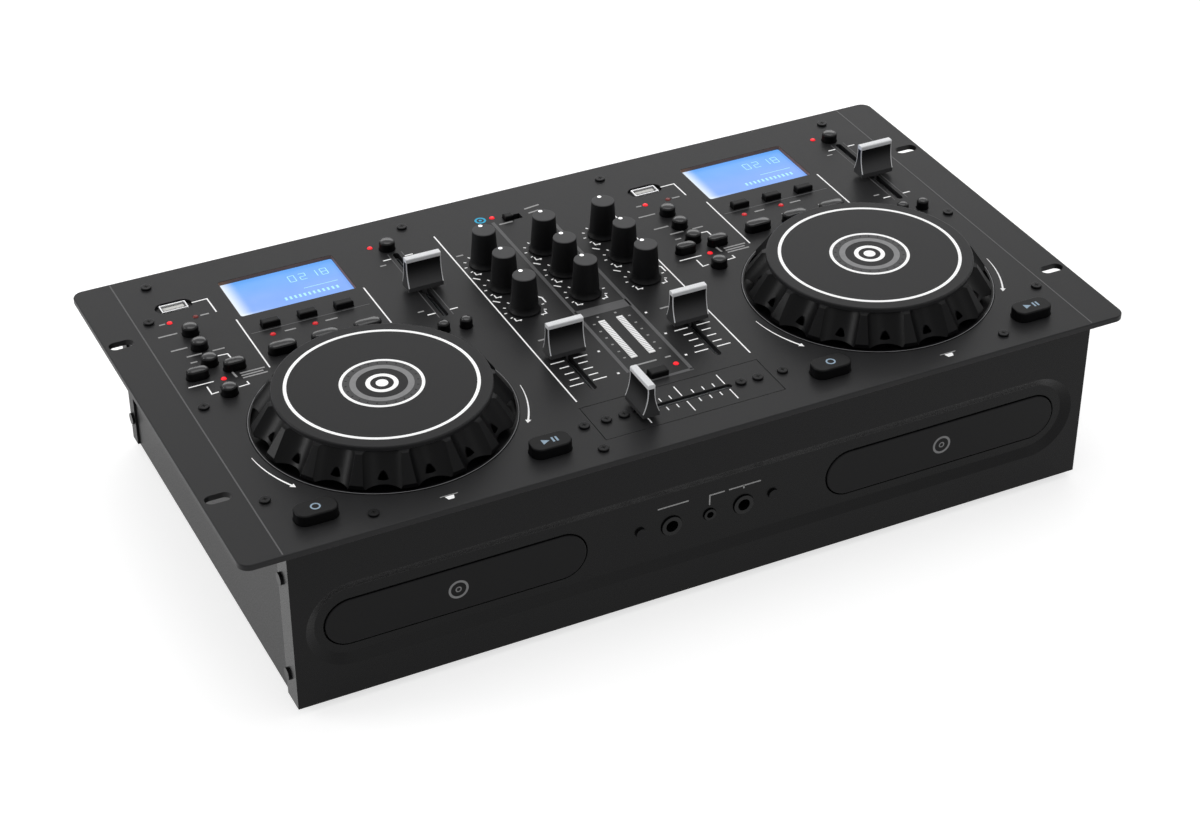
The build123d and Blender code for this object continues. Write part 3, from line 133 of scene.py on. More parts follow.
def printed(name, colour, mottle=0.08, mottleSize=3.0):
    # Screen-printed ink: flat and even, with hardly any relief.
    return finish(name, colour, 0.5, mottle=mottle, mottleSize=mottleSize, grainSize=0.15,
                  grainDepth=0.006, edge=0.02)


def acrossDeck(tree, axes):
    # x from the middle of the deck on which a point lies
    side = addNode(tree, "ShaderNodeMath", {"operation": "SIGN"}, {0: axes.outputs["X"]})
    middle = addNode(tree, "ShaderNodeMath", {"operation": "MULTIPLY"},
                     {0: side, 1: deckPlaces["right"] * mm})
    return addNode(tree, "ShaderNodeMath", {"operation": "SUBTRACT"}, {0: axes.outputs["X"], 1: middle})


panelPaint = {"colour": "#202021", "roughness": 0.42, "grain": 0.35}
casePaint = {"colour": "#131314", "roughness": 0.4}
jogMoulding = {"skirt": "#060607", "plate": "#232324", "plateHeight": 112.0}
knobPaint = {"side": "#141415", "top": "#4c4c4d", "topHeight": 116.6}
# a paler foot and a darker blade: painted light and shade on the fader caps
capPaintedShade = {"foot": "#3e3e3f", "blade": "#0d0d0e", "bladeHeight": 113.0, "fade": 11.0}

# textured powder coat baked on the steel panel: even, dark and satin
panelCoat = finish("powderCoatBakedOnPanel", panelPaint["colour"], panelPaint["roughness"], mottle=0.05,
                   mottleSize=60.0, grainSize=panelPaint["grain"], grainDepth=0.012, edge=0.35)
# satin paint sprayed on the folded case: darker than the panel, with a soft sheen
caseCoat = finish("satinPaintSprayedOnCase", casePaint["colour"], casePaint["roughness"], mottle=0.08,
                  mottleSize=70.0, grainSize=0.6, grainDepth=0.01, edge=0.3, specular=0.14)
# the same paint on the front, smoother, so that the pressed dish's slopes catch light
frontCoat = finish("satinPaintSprayedOnFront", "#0b0b0c", 0.26, mottle=0.06, mottleSize=60.0,
                   grainSize=0.6, grainDepth=0.004, edge=0.6, specular=0.13)
# moulded ABS with a spark-eroded grain: a black skirt under a paler touch plate
jogPlastic = finish("absMouldedJogWheel", jogMoulding["skirt"], 0.36, mottle=0.1, grainSize=0.5,
                    grainDepth=0.008, edge=0.4, specular=0.1,
                    colourOf=aboveHeight(jogMoulding["plateHeight"], jogMoulding["plate"], 0.4))
# moulded ABS dish under the jog: nearly black in the gap
dishPlastic = finish("absMouldedJogDish", "#070708", 0.35, grainDepth=0.006, edge=0.3, specular=0.1)
# painted highlight on the dish's turned edge: a thin grey ring round the jog that stands for light
# caught on the rounded lip
dishEdgeHighlight = finish("paintedHighlightOnDishEdge", "#7c7c7e", 0.3, mottle=0.2, mottleSize=20.0, grainSize=0.4,
                  grainDepth=0.002, edge=0.05)
# soft-touch paint over moulded knobs: matt sides, paler on the flat top
knobPlastic = finish("softTouchPaintOnKnob", knobPaint["side"], 0.5, mottle=0.1, mottleSize=8.0,
                     grainSize=0.3, grainDepth=0.012, edge=0.35, specular=0.1,
                     colourOf=aboveHeight(knobPaint["topHeight"], knobPaint["top"], 0.15))
# moulded ABS cap with painted light and shade: its foot is painted paler as if it caught light, and its
# concave face is painted darker upwards as shade
faderPaintedShade = finish("absFaderCapPaintedShade", capPaintedShade["foot"], 0.34, mottle=0.1, mottleSize=10.0,
                      grainSize=0.4, grainDepth=0.004, edge=0.3,
                      colourOf=aboveHeight(capPaintedShade["bladeHeight"], capPaintedShade["blade"],
                                           capPaintedShade["fade"]))
# moulded ABS keys: black, with rounded edges
keyPlastic = finish("absMouldedKey", "#0b0b0c", 0.36, mottle=0.1, mottleSize=6.0, grainSize=0.3,
                    grainDepth=0.008, edge=0.4, specular=0.1)
# gloss lacquer on the key's crown: a small sharp highlight
keyCrown = finish("glossLacquerOnKeyCrown", "#1b1b1d", 0.12, mottle=0.06, mottleSize=5.0, grainSize=0.4,
                  grainDepth=0.003, roughSpread=0.03, specular=0.3, coat=0.3, coatRoughness=0.05)
# moulded ABS tray: dark grey with a fine grain
trayPlastic = finish("absMouldedTray", "#1f1f20", 0.36, grainSize=0.5, grainDepth=0.01, edge=0.3)
# moulded ABS bezel: smoother and darker than the tray
bezelPlastic = finish("absMouldedTrayBezel", "#0d0d0e", 0.34, mottle=0.06, mottleSize=50.0,
                      grainDepth=0.008, edge=0.35, specular=0.11)
# moulded ABS loader inside the case: plain grey
innerPlastic = finish("absMouldedLoader", "#2a2a2c", 0.45, grainSize=0.6)
# blackened steel screws: dull metal, with a black sheet of painted shade in each cross recess
screwSteel = finish("blackenedScrewSteel", "#161617", 0.35, metallic=0.5, mottle=0.2, mottleSize=2.0,
                    grainSize=0.2, grainDepth=0.01, edge=0.2)
# near black: painted shade in the screws' cross recesses, and the black ink of the jog label's ticks
recessShadeAndTickInk = finish("paintedRecessShadeAndTickInk", "#030303", 0.7, grainSize=0.2)
# moulded rubber feet: black and matt
footRubber = finish("mouldedFootRubber", "#101010", 0.75, grainSize=0.4, grainDepth=0.03, edge=0.4)
# moulded nylon of jacks, inlet and switch: smooth and slightly shiny
jackPlastic = finish("nylonMouldedJack", "#0a0a0b", 0.28, grainSize=0.3, grainDepth=0.006, edge=0.2,
                     coat=0.08)
# turned brass, nickel plated: bright and warm
nickel = finish("nickelPlatedBrass", "#d4d2cc", 0.2, mottle=0.06, mottleSize=3.0, grainSize=0.2,
                grainDepth=0.004, metallic=1.0, edge=0.15)
# pressed port shell, tin plated: a pale bright rim
portShine = finish("tinPlatedPortShell", "#dedee0", 0.26, mottle=0.08, mottleSize=4.0, grainSize=0.25,
                   grainDepth=0.004, metallic=0.7, edge=0.15)
# laminated boards: green mask on the decks' boards, tan on the supply
boardMask = finish("solderMaskOnBoard", "#0f4a26", 0.35, mottle=0.15, mottleSize=12.0, grainSize=0.8,
                   coat=0.3)
supplyBoard = finish("solderMaskOnSupplyBoard", "#8a6a2c", 0.45, mottle=0.15, mottleSize=12.0,
                     grainSize=0.8)
# pressed steel cases and levers, zinc plated: grey metal
potSteel = finish("rolledPotentiometerCase", "#9fa1a4", 0.32, metallic=1.0, mottle=0.1, mottleSize=4.0,
                  grainSize=0.2)
# moulded frame round the display module: dark grey
moduleFrame = finish("mouldedDisplayFrame", "#17181a", 0.4)
# opening's edge beside the backlight: warm and dim
recessPlastic = finish("amberLitRecessEdge", "#7a5c4a", 0.4, mottle=0.2, mottleSize=6.0, grainSize=0.4)
# moulded socket inserts: the usual red and white
redPlug = finish("redMouldedSocketInsert", "#b3141a", 0.35, grainSize=0.3)
whitePlug = finish("whiteMouldedSocketInsert", "#d8d8d4", 0.35, grainSize=0.3)

# screen-printed inks, the white one opaque and bright and given a faint emission as painted light, the
# fine one broken up as small print is
whiteInk = lit(printed("whiteInkScreenPrintedPaintedGlow", "#f4f4f4", 0.04), "#f4f4f4", 0.25)
greyInk = printed("greyInkScreenPrinted", "#606061")
fineInk = printed("greyInkFineLettering", "#a8a8a8", 0.25, 1.2)
ringInk = printed("greyInkOnJogLabel", "#8e8e8f", 0.15)
keyInk = printed("paleBlueInkOnKey", "#9fb6c9", 0.1, 1.5)
cyanInk = printed("cyanInkScreenPrinted", "#35b6e0", 0.08, 2.0)
labelInk = finish("darkGreyInkOnJogLabel", "#454546", 0.4, mottle=0.2, mottleSize=4.0)
# white paint filled into the knob's dot, given an emission as painted light so that it is the brightest
# spot of the knob
dotInk = lit(finish("whiteKnobDotPaintedGlow", "#ffffff", 0.4, mottle=0.03, mottleSize=1.0, grainSize=0.15,
                    grainDepth=0.002, edge=0.02), "#ffffff", 0.7)
# hot-stamped foil, brushed: pale silver, not mirror bright
silverFoil = finish("brushedSilverFoilOnCap", "#e4e5e7", 0.3, mottle=0.04, mottleSize=6.0,
                    grainSize=0.4, grainDepth=0.0015, roughSpread=0.04, metallic=0.15, edge=0.05)
# moulded milky diffusers of the meters: pale and even
barLens = lit(finish("diffuserMouldedMeterBar", "#dedede", 0.3, mottle=0.04, mottleSize=5.0,
                     grainSize=0.3, grainDepth=0.004), "#f2f2f2", 0.28)
# liquid crystal segments over the backlight: a little paler than the blue
segmentGlow = lit(finish("paleDisplaySegments", "#6fb4ff", 0.4, grainSize=0.4), "#a5ccff", 0.9)

lensGlow = {"lit": "#ff1626", "low": "#a01018", "lowRow": 176.8, "unlit": "#4a1210", "unlitRow": 210.0,
            "unlitColumn": -53.0, "reach": 5.0, "lens": "#b00f1a", "unlitLens": "#5a1a16",
            "strength": 0.85}


def lampMaterial():
    # Red acrylic lenses, moulded: those over the track keys burn lower and the one beside the port
    # barely.
    material = finish("redAcrylicLens", lensGlow["lens"], 0.18, mottle=0.2, mottleSize=1.0,
                      grainSize=0.3, grainDepth=0.003, coat=0.15)
    tree = material.node_tree
    where = addNode(tree, "ShaderNodeTexCoord").outputs["Object"]
    axes = addNode(tree, "ShaderNodeSeparateXYZ", None, {0: where})
    spots = ((axes.outputs["Y"], frontEdge + lensGlow["lowRow"]),
             (axes.outputs["Y"], frontEdge + lensGlow["unlitRow"]),
             (acrossDeck(tree, axes), lensGlow["unlitColumn"]))
    low, inRow, inColumn = [addNode(tree, "ShaderNodeMath", {"operation": "COMPARE"},
                                    {0: value, 1: spot * mm, 2: lensGlow["reach"] * mm})
                            for value, spot in spots]
    unlit = addNode(tree, "ShaderNodeMath", {"operation": "MULTIPLY"}, {0: inRow, 1: inColumn})
    glow = addNode(tree, "ShaderNodeMix", {"data_type": "RGBA"},
                   {"Factor": low, 6: linear(lensGlow["lit"]), 7: linear(lensGlow["low"])}).outputs[2]
    glow = addNode(tree, "ShaderNodeMix", {"data_type": "RGBA"},
                   {"Factor": unlit, 6: glow, 7: linear(lensGlow["unlit"])}).outputs[2]
    body = addNode(tree, "ShaderNodeMix", {"data_type": "RGBA"},
                   {"Factor": unlit, 6: linear(lensGlow["lens"]),
                    7: linear(lensGlow["unlitLens"])}).outputs[2]
    shader = shaderOf(material)
    tree.links.new(glow, shader.inputs["Emission Color"])
    tree.links.new(body, shader.inputs["Base Color"])
    shader.inputs["Emission Strength"].default_value = lensGlow["strength"]
    return material


redLens = lampMaterial()

windowGlow = {"left": -31.8, "leftReach": 9.0, "sideReach": 22.0, "bottom": 69.6, "bottomReach": 6.0,
              "upper": (80.0, 106.0), "upperShare": 0.5, "deep": "#78a9f5", "clear": "#94b8fd",
              "sky": "#55b2ff", "pale": "#f2fbff", "dark": "#0a1f48", "strength": 0.94}


def displayMaterial():
    # Polished acrylic over a blue backlight, paler where the backlight's lamps sit: at the left edge
    # and the near corner.
    material = bpy.data.materials.new("acrylicWindowBacklitBlue")
    material.use_nodes = True
    tree = material.node_tree
    tree.nodes.clear()
    where = addNode(tree, "ShaderNodeTexCoord").outputs["Object"]
    axes = addNode(tree, "ShaderNodeSeparateXYZ", None, {0: where})
    across, up = acrossDeck(tree, axes), axes.outputs["Y"]
    left, bottom = windowGlow["left"], windowGlow["bottom"]
    fades = ((across, left, left + windowGlow["leftReach"], 1.0, 0.0),
             (across, left, left + windowGlow["sideReach"], 1.0, 0.0),
             (up, bottom, bottom + windowGlow["bottomReach"], 1.0, 0.0),
             (up, *windowGlow["upper"], 0.0, 1.0))
    edge, side, low, upper = [addNode(tree, "ShaderNodeMapRange", {"interpolation_type": "SMOOTHSTEP"},
                                      {"Value": value, "From Min": start * mm, "From Max": end * mm,
                                       "To Min": first, "To Max": last})
                              for value, start, end, first, last in fades]
    corner = addNode(tree, "ShaderNodeMath", {"operation": "MULTIPLY"}, {0: low, 1: side})
    pale = addNode(tree, "ShaderNodeMath", {"operation": "ADD", "use_clamp": True},
                   {0: edge, 1: corner})
    share = addNode(tree, "ShaderNodeMath", {"operation": "MULTIPLY"},
                    {0: upper, 1: windowGlow["upperShare"]})
    cloud = addNode(tree, "ShaderNodeTexNoise", None, {"Vector": where, "Scale": 60.0, "Detail": 2.0})
    field = linear(windowGlow["deep"])
    for factor, colour in ((cloud, "clear"), (share, "sky"), (pale, "pale")):
        field = addNode(tree, "ShaderNodeMix", {"data_type": "RGBA"},
                        {"Factor": factor, 6: field, 7: linear(windowGlow[colour])}).outputs[2]
    shader = addNode(tree, "ShaderNodeBsdfPrincipled", None,
                     {"Base Color": linear(windowGlow["dark"]), "Roughness": 0.4,
                      "Specular IOR Level": 0.2, "Emission Color": field,
                      "Emission Strength": windowGlow["strength"]})
    addNode(tree, "ShaderNodeOutputMaterial", None, {"Surface": shader})
    return material


litWindow = displayMaterial()

# each material with the endings of the names of its nodes
nodeFinish = (
    (panelCoat, "top_panel crossfader_plate"), (caseCoat, "bottom_chassis rear_panel"),
    (frontCoat, "front_panel"), (screwSteel, "panel_screws chassis_screws"),
    (footRubber, "rubber_feet"), (litWindow, "display_windows"), (moduleFrame, "display_modules"),
    (portShine, "data_ports"), (redLens, "indicator_lamps"), (dishPlastic, "jog_housings"),
    (boardMask, "circuit_boards"), (supplyBoard, "power_supply"),
    (innerPlastic, "disc_loaders drive_hub"), (jackPlastic, "front_jacks power_inlet power_switch"),
    (nickel, "rear_jacks"), (potSteel, "potentiometers fader_units"), (jogPlastic, "jog_wheel"),
    (knobPlastic, "knob"), (faderPaintedShade, "fader"), (keyPlastic, "button keys key slide_switch"),
    (trayPlastic, "disc_tray"), (bezelPlastic, "tray_bezel"),
)
for name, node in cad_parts.items():
    coat = next(material for material, names in nodeFinish if name.endswith(tuple(names.split())))
    node.data.materials.clear()
    node.data.materials.append(coat)
print("materials: set on", len(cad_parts), "nodes")


# Thin raised pieces are drawn on three faces: x, y on the panel and x, z on the front and the rear.
def onPanel(x, y, lift):
    return (x * mm, (frontEdge + y) * mm, (panelTop + lift) * mm)


def onFront(x, z, lift):
    return (x * mm, (frontFace - lift) * mm, (panelTop + z) * mm)


def onRear(x, z, lift):
    return (-x * mm, (rearFace + lift) * mm, z * mm)


def circle(x, y, radius, steps=64, start=0.0, end=360.0, closed=True):
    count = steps if closed else steps + 1
    turns = [math.radians(start + (end - start) * i / steps) for i in range(count)]
    return [(x + radius * math.cos(t), y + radius * math.sin(t)) for t in turns]


def stadium(x, y, length, width, steps=24):
    half = (length - width) / 2
    return (circle(x + half, y, width / 2, steps, -90, 90, False)
            + circle(x - half, y, width / 2, steps, 90, 270, False))


class Sheet:
    # Collects thin shapes in a plane and makes them one closed mesh.

    def __init__(self, name, body, slot, material, base=0.0, thickness=ink["thickness"],
                 place=onPanel):
        self.name, self.body, self.slot, self.material = name, body, slot, material
        self.base, self.thickness, self.place = base, thickness, place
        self.verts, self.faces = [], []

    def strip(self, left, right, closed=False):
        start, count = len(self.verts), len(left)
        for lift in (self.base, self.base + self.thickness):
            for line in (left, right):
                self.verts += [self.place(x, y, lift) for x, y in line]
        a, b, c, d = start, start + count, start + 2 * count, start + 3 * count
        for i in range(count if closed else count - 1):
            j = (i + 1) % count
            self.faces += [(c + i, d + i, d + j, c + j), (a + i, a + j, b + j, b + i),
                           (a + i, c + i, c + j, a + j), (b + i, b + j, d + j, d + i)]
        if not closed:
            self.faces += [(a, b, d, c), (a + count - 1, c + count - 1, d + count - 1, b + count - 1)]

    def stroke(self, points, width):
        lines = [Vector(p) for p in points]
        left, right = [], []
        for i, point in enumerate(lines):
            before = (point - lines[i - 1]).normalized() if i else None
            after = (lines[i + 1] - point).normalized() if i < len(lines) - 1 else None
            way = (before or after) + (after or before)
            normal = Vector((-way.y, way.x)).normalized()
            straight = after or before
            reach = width / 2 / max(0.3, normal.dot(Vector((-straight.y, straight.x))))
            left.append(tuple(point + normal * reach))
            right.append(tuple(point - normal * reach))
        self.strip(left, right)

    def ring(self, x, y, radius, width, steps=128):
        inner, outer = [circle(x, y, radius + side * width / 2, steps) for side in (-1, 1)]
        self.strip(inner, outer, True)

    def patch(self, outline):
        start, count = len(self.verts), len(outline)
        for lift in (self.base, self.base + self.thickness):
            self.verts += [self.place(x, y, lift) for x, y in outline]
        self.faces.append(tuple(range(start + count, start + 2 * count)))
        self.faces.append(tuple(reversed(range(start, start + count))))
        for i in range(count):
            j = (i + 1) % count
            self.faces.append((start + i, start + j, start + count + j, start + count + i))

    def crown(self, outline, rise, rings=6):
        middle = [sum(p[k] for p in outline) / len(outline) for k in (0, 1)]
        start, count = len(self.verts), len(outline)
        for k in range(rings):
            turn = math.pi / 2 * k / rings
            self.verts += [self.place(middle[0] + (x - middle[0]) * math.cos(turn),
                                      middle[1] + (y - middle[1]) * math.cos(turn),
                                      self.base + rise * math.sin(turn)) for x, y in outline]
        self.verts.append(self.place(middle[0], middle[1], self.base + rise))
        for k in range(rings - 1):
            for i in range(count):
                j = (i + 1) % count
                low, high = start + k * count, start + (k + 1) * count
                self.faces.append((low + i, low + j, high + j, high + i))
        last = start + (rings - 1) * count
        self.faces += [(last + i, last + (i + 1) % count, len(self.verts) - 1) for i in range(count)]
        self.faces.append(tuple(reversed(range(start, start + count))))

    def make(self, smooth=False):
        mesh = bpy.data.meshes.new(self.name)
        mesh.from_pydata(self.verts, [], self.faces)
        mesh.materials.append(self.material)
        mesh.polygons.foreach_set("use_smooth", [smooth] * len(mesh.polygons))
        mesh.validate()
        return addPiece(self.name, mesh, self.body)


def addPiece(name, mesh, body):
    shells = bmesh.new()
    shells.from_mesh(mesh)
    bmesh.ops.recalc_face_normals(shells, faces=shells.faces)  # every closed shell faces outwards
    shells.to_mesh(mesh)
    shells.free()
    piece = bpy.data.objects.new(name, mesh)
    scene.collection.objects.link(piece)
    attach(piece, body)
    return piece


def marksGroup():
    # Puts an arc of small blocks on every point of the geometry it is given.
    tree = bpy.data.node_groups.new("marksOnPoints", "GeometryNodeTree")
    sockets = tree.interface
    sockets.new_socket(name="Geometry", in_out="INPUT", socket_type="NodeSocketGeometry")
    sizes = {"Length": 1.0, "Width": 0.5, "Height": 0.05, "Reach": 0.0, "First Angle": 0.0,
             "Last Angle": 0.0, "Copies": 1}
    for name, value in sizes.items():
        kind = "NodeSocketInt" if name == "Copies" else "NodeSocketFloat"
        sockets.new_socket(name=name, in_out="INPUT", socket_type=kind).default_value = value
    sockets.new_socket(name="Material", in_out="INPUT", socket_type="NodeSocketMaterial")
    sockets.new_socket(name="Geometry", in_out="OUTPUT", socket_type="NodeSocketGeometry")
    given = addNode(tree, "NodeGroupInput").outputs
    size = addNode(tree, "ShaderNodeCombineXYZ", None,
                   {0: given["Length"], 1: given["Width"], 2: given["Height"]})
    block = addNode(tree, "GeometryNodeMeshCube", None, {"Size": size})
    index = addNode(tree, "GeometryNodeInputIndex")
    gaps = addNode(tree, "ShaderNodeMath", {"operation": "SUBTRACT"}, {0: given["Copies"], 1: 1.0})
    share = addNode(tree, "ShaderNodeMath", {"operation": "DIVIDE"}, {0: index, 1: gaps})
    sweep = addNode(tree, "ShaderNodeMath", {"operation": "SUBTRACT"},
                    {0: given["Last Angle"], 1: given["First Angle"]})
    onward = addNode(tree, "ShaderNodeMath", {"operation": "MULTIPLY"}, {0: share, 1: sweep})
    turn = addNode(tree, "ShaderNodeMath", {"operation": "ADD"}, {0: onward, 1: given["First Angle"]})
    reaches = []
    for part in ("COSINE", "SINE"):
        wave = addNode(tree, "ShaderNodeMath", {"operation": part}, {0: turn})
        reaches.append(addNode(tree, "ShaderNodeMath", {"operation": "MULTIPLY"},
                               {0: wave, 1: given["Reach"]}))
    spot = addNode(tree, "ShaderNodeCombineXYZ", None, {0: reaches[0], 1: reaches[1]})
    points = addNode(tree, "GeometryNodePoints", None, {"Count": given["Copies"], "Position": spot})
    spin = addNode(tree, "ShaderNodeCombineXYZ", None, {2: turn})
    arc = addNode(tree, "GeometryNodeInstanceOnPoints", None,
                  {"Points": points, "Instance": block, "Rotation": spin})
    spread = addNode(tree, "GeometryNodeInstanceOnPoints", None,
                     {"Points": given["Geometry"], "Instance": arc})
    real = addNode(tree, "GeometryNodeRealizeInstances", None, {"Geometry": spread})
    painted = addNode(tree, "GeometryNodeSetMaterial", None,
                      {"Geometry": real, "Material": given["Material"]})
    addNode(tree, "NodeGroupOutput", None, {"Geometry": painted})
    return tree


marks = marksGroup()


def addMarks(name, places, length, width, height, material, body="chassis",
             reach=0.0, first=0.0, last=0.0, copies=1):
    values = {"Length": length * mm, "Width": width * mm, "Height": height * mm, "Reach": reach * mm,
              "First Angle": math.radians(first), "Last Angle": math.radians(last), "Copies": copies,
              "Material": material}
    mesh = bpy.data.meshes.new(name + "Points")
    mesh.from_pydata(places, [], [])
    carrier = bpy.data.objects.new(name + "Carrier", mesh)
    scene.collection.objects.link(carrier)
    modifier = carrier.modifiers.new("marks", "NODES")
    modifier.node_group = marks
    for item in marks.interface.items_tree:
        if item.in_out == "INPUT" and item.name in values:
            modifier[item.identifier] = values[item.name]
    graph = bpy.context.evaluated_depsgraph_get()
    baked = bpy.data.meshes.new_from_object(carrier.evaluated_get(graph), depsgraph=graph)
    baked.name = name
    bpy.data.objects.remove(carrier)
    bpy.data.meshes.remove(mesh)
    return addPiece(name, baked, body)


# Print on the panel, in four inks.
white = Sheet("panelPrintWhite", "chassis", "panel_steel", whiteInk)
grey = Sheet("panelPrintGrey", "chassis", "panel_steel", greyInk)
fine = Sheet("panelPrintLabels", "chassis", "panel_steel", fineInk)
cyan = Sheet("panelPrintCyan", "chassis", "panel_steel", cyanInk)

earLine = {"x": 220.6, "width": 0.7, "front": 1.2, "rear": 258.8}
for end in (-1, 1):
    grey.stroke([(end * earLine["x"], earLine["front"]), (end * earLine["x"], earLine["rear"])],
                earLine["width"])

deckStrokes = {
    "bracketWidth": 0.75,
    "white": [[(-50.4, 223.8), (-42.0, 224.0), (-41.8, 209.7)],
              [(-55.6, 170.0), (-50.0, 169.6), (-49.7, 165.7)],
              [(-69.2, 145.7), (-69.2, 138.5), (-65.4, 138.9)],
              [(-55.0, 138.7), (-49.6, 139.0), (-49.8, 141.7)],
              [(-35.2, 198.0), (-35.2, 148.5)], [(35.2, 198.0), (35.2, 160.0)],
              [(-77.8, 148.8), (-64.6, 148.8)]],
    "fine": [[(-76.7, 199.0), (-66.6, 199.0)], [(-75.0, 184.0), (-66.3, 184.0)],
             [(-69.5, 175.6), (-61.5, 175.6)], [(-69.6, 169.5), (-66.0, 169.5)],
             [(-55.9, 175.5), (-49.5, 175.5)], [(-53.6, 152.7), (-53.0, 147.4)],
             [(-72.6, 210.0), (-69.4, 210.0)], [(-50.4, 210.0), (-45.8, 210.0)],
             [(-50.5, 149.9), (-37.5, 149.9)], [(-50.5, 147.6), (-39.0, 147.6)],
             [(-50.5, 145.4), (-37.5, 145.4)],
             [(-16.6, 176.8), (-10.6, 176.8)], [(5.6, 176.8), (12.2, 176.8)],
             [(-4.4, 168.2), (3.4, 168.2)], [(18.6, 168.2), (27.6, 168.2)]],
    "fineWidth": 1.05,
}
arrowArc = {"radius": 70.6, "turns": ((-5, -30), (185, 210)), "wide": 0.95, "thin": 0.35, "head": 3.0}
pitchScale = {"x": 63.2, "aside": 3.9, "low": 153.5, "high": 223.5, "tick": 4.6}
for deck in deckPlaces.values():
    def moved(points):
        return [(deck + x, y) for x, y in points]
    for line in deckStrokes["white"]:
        white.stroke(moved(line), deckStrokes["bracketWidth"])
    for line in deckStrokes["fine"]:
        fine.stroke(moved(line), deckStrokes["fineWidth"])
    grey.stroke(moved([(-32.8, 181.9), (32.0, 181.9)]), 0.6)
    for start, end in arrowArc["turns"]:
        turns = [math.radians(start + (end - start) * i / 24) for i in range(25)]
        widths = [arrowArc["thin"] + (arrowArc["wide"] - arrowArc["thin"]) * i / 24 for i in range(25)]
        centre = (deck, jogRow)
        sides = [[(centre[0] + (arrowArc["radius"] + s * w / 2) * math.cos(t),
                   centre[1] + (arrowArc["radius"] + s * w / 2) * math.sin(t))
                  for t, w in zip(turns, widths)] for s in (-1, 1)]
        white.strip(sides[0], sides[1])
        tip, sign = turns[-1], 1 if end > start else -1
        head = arrowArc["head"]
        base = Vector((math.cos(tip), math.sin(tip)))
        onward = Vector((-base.y, base.x)) * sign
        root = Vector(centre) + base * arrowArc["radius"]
        white.patch([tuple(root + base * head / 2), tuple(root - base * head / 2),
                     tuple(root + onward * head * 0.9)])
    x = deck + pitchScale["x"]
    for aside in (-pitchScale["aside"], pitchScale["aside"]):
        grey.stroke([(x + aside, pitchScale["low"]), (x + aside, pitchScale["high"])], 0.45)
        out = aside + math.copysign(pitchScale["tick"], aside)
        for y in (158.5, 218.5):
            white.stroke([(x + aside, y), (x + out, y)], 0.8)
    for y in (163.0, 214.0):
        fine.stroke([(x - 12.0, y), (x - 8.6, y)], 0.9)
    white.patch([(deck + 0.4, 6.6), (deck + 3.4, 6.6), (deck + 4.2, 9.2), (deck - 0.4, 9.2)])
    fine.stroke([(deck - 2.6, 9.8), (deck + 6.4, 9.8)], 0.5)

# mixer frame, sections and scales
mixerLines = {
    "border": [[(-48.0, 230.0), (-48.0, 53.0)], [(49.7, 230.0), (49.7, 54.0)]],
    "frame": [[(-13.4, 229.5), (-13.4, 65.0)], [(16.4, 229.5), (16.4, 54.0)],
              [(-6.5, 54.0), (17.3, 54.0)]],
    "bar": ((-13.4, 120.6), (16.4, 127.8)),
    "labels": [[(8.2, 235.2), (17.5, 236.4)], [(8.4, 230.2), (15.0, 231.0)],
               [(-11.0, 226.0), (-3.0, 226.0)], [(-33.0, 205.5), (-29.0, 205.5)],
               [(6.5, 217.5), (11.0, 217.5)], [(-45.6, 205.4), (-41.6, 205.4)],
               [(38.0, 207.0), (43.0, 207.0)], [(-9.9, 69.2), (4.4, 69.2)], [(9.2, 69.2), (12.4, 69.2)],
               [(28.0, 111.2), (33.0, 111.2)], [(-41.5, 111.2), (-36.5, 111.2)]],
}
for line in mixerLines["border"]:
    white.stroke(line, 0.75)
for line in mixerLines["frame"]:
    grey.stroke(line, 1.9)
(barLeft, barFront), (barRight, barRear) = mixerLines["bar"]
grey.patch([(barLeft, barFront), (barRight, barFront), (barRight, barRear), (barLeft, barRear)])
for line in mixerLines["labels"]:
    fine.stroke(line, 1.1)
cyan.ring(-18.6, 234.5, 2.6, 1.1, 48)
cyan.patch(circle(-18.6, 234.5, 0.9, 24))

# small corner marks at each knob's two stops, and the links between the knobs
knobCorner = {"out": 8.6, "arm": 2.4, "down": 8.4, "rise": 5.6, "width": 0.7}
for column in knobColumns.values():
    for row in knobRows.values():
        for end in (-1, 1):
            x, y = column + end * knobCorner["out"], row - knobCorner["down"]
            white.stroke([(x - end * knobCorner["arm"], y), (x, y), (x, row - knobCorner["rise"])],
                         knobCorner["width"])
    for low, high in ((knobRows["front"], knobRows["centre"]), (knobRows["centre"], knobRows["rear"])):
        middle = (low + high) / 2
        white.stroke([(column - 11.6, middle + 2.0), (column - 8.6, middle - 0.8)], 0.8)
for column in (knobColumns["left"], knobColumns["right"]):
    white.stroke([(column + 9.5, 152.0), (column + 12.8, 148.0), (column + 12.8, 143.0)], 0.8)

for sheet in (white, grey, fine, cyan):
    sheet.make()

knobSpots = [onPanel(x, y, ink["middle"]) for x in knobColumns.values() for y in knobRows.values()]
addMarks("knobScaleMarks", knobSpots, 1.5, 0.7, ink["thickness"], whiteInk, reach=10.6, first=-55,
         last=235, copies=11)

channelRows = {"long": (88.8, 66.6), "short": (83.3, 77.4, 71.6)}
for kind, reach in (("long", 7.6), ("short", 5.2)):
    spots = [onPanel(x + side * (2.6 + reach / 2), y, ink["middle"]) for x in channelColumns.values()
             for side in (-1, 1) for y in channelRows[kind]]
    addMarks(f"channelScale_{kind}", spots, reach, 0.75, ink["thickness"], whiteInk)
dots = [onPanel(x, y, ink["middle"]) for x in (-18.3, 19.8) for y in (88.9, 66.7)]
dots += [onPanel(x, 111.0, ink["middle"]) for x in (-20.2, 19.8)]
addMarks("channelScale_dots", dots, 1.3, 1.3, ink["thickness"], whiteInk)

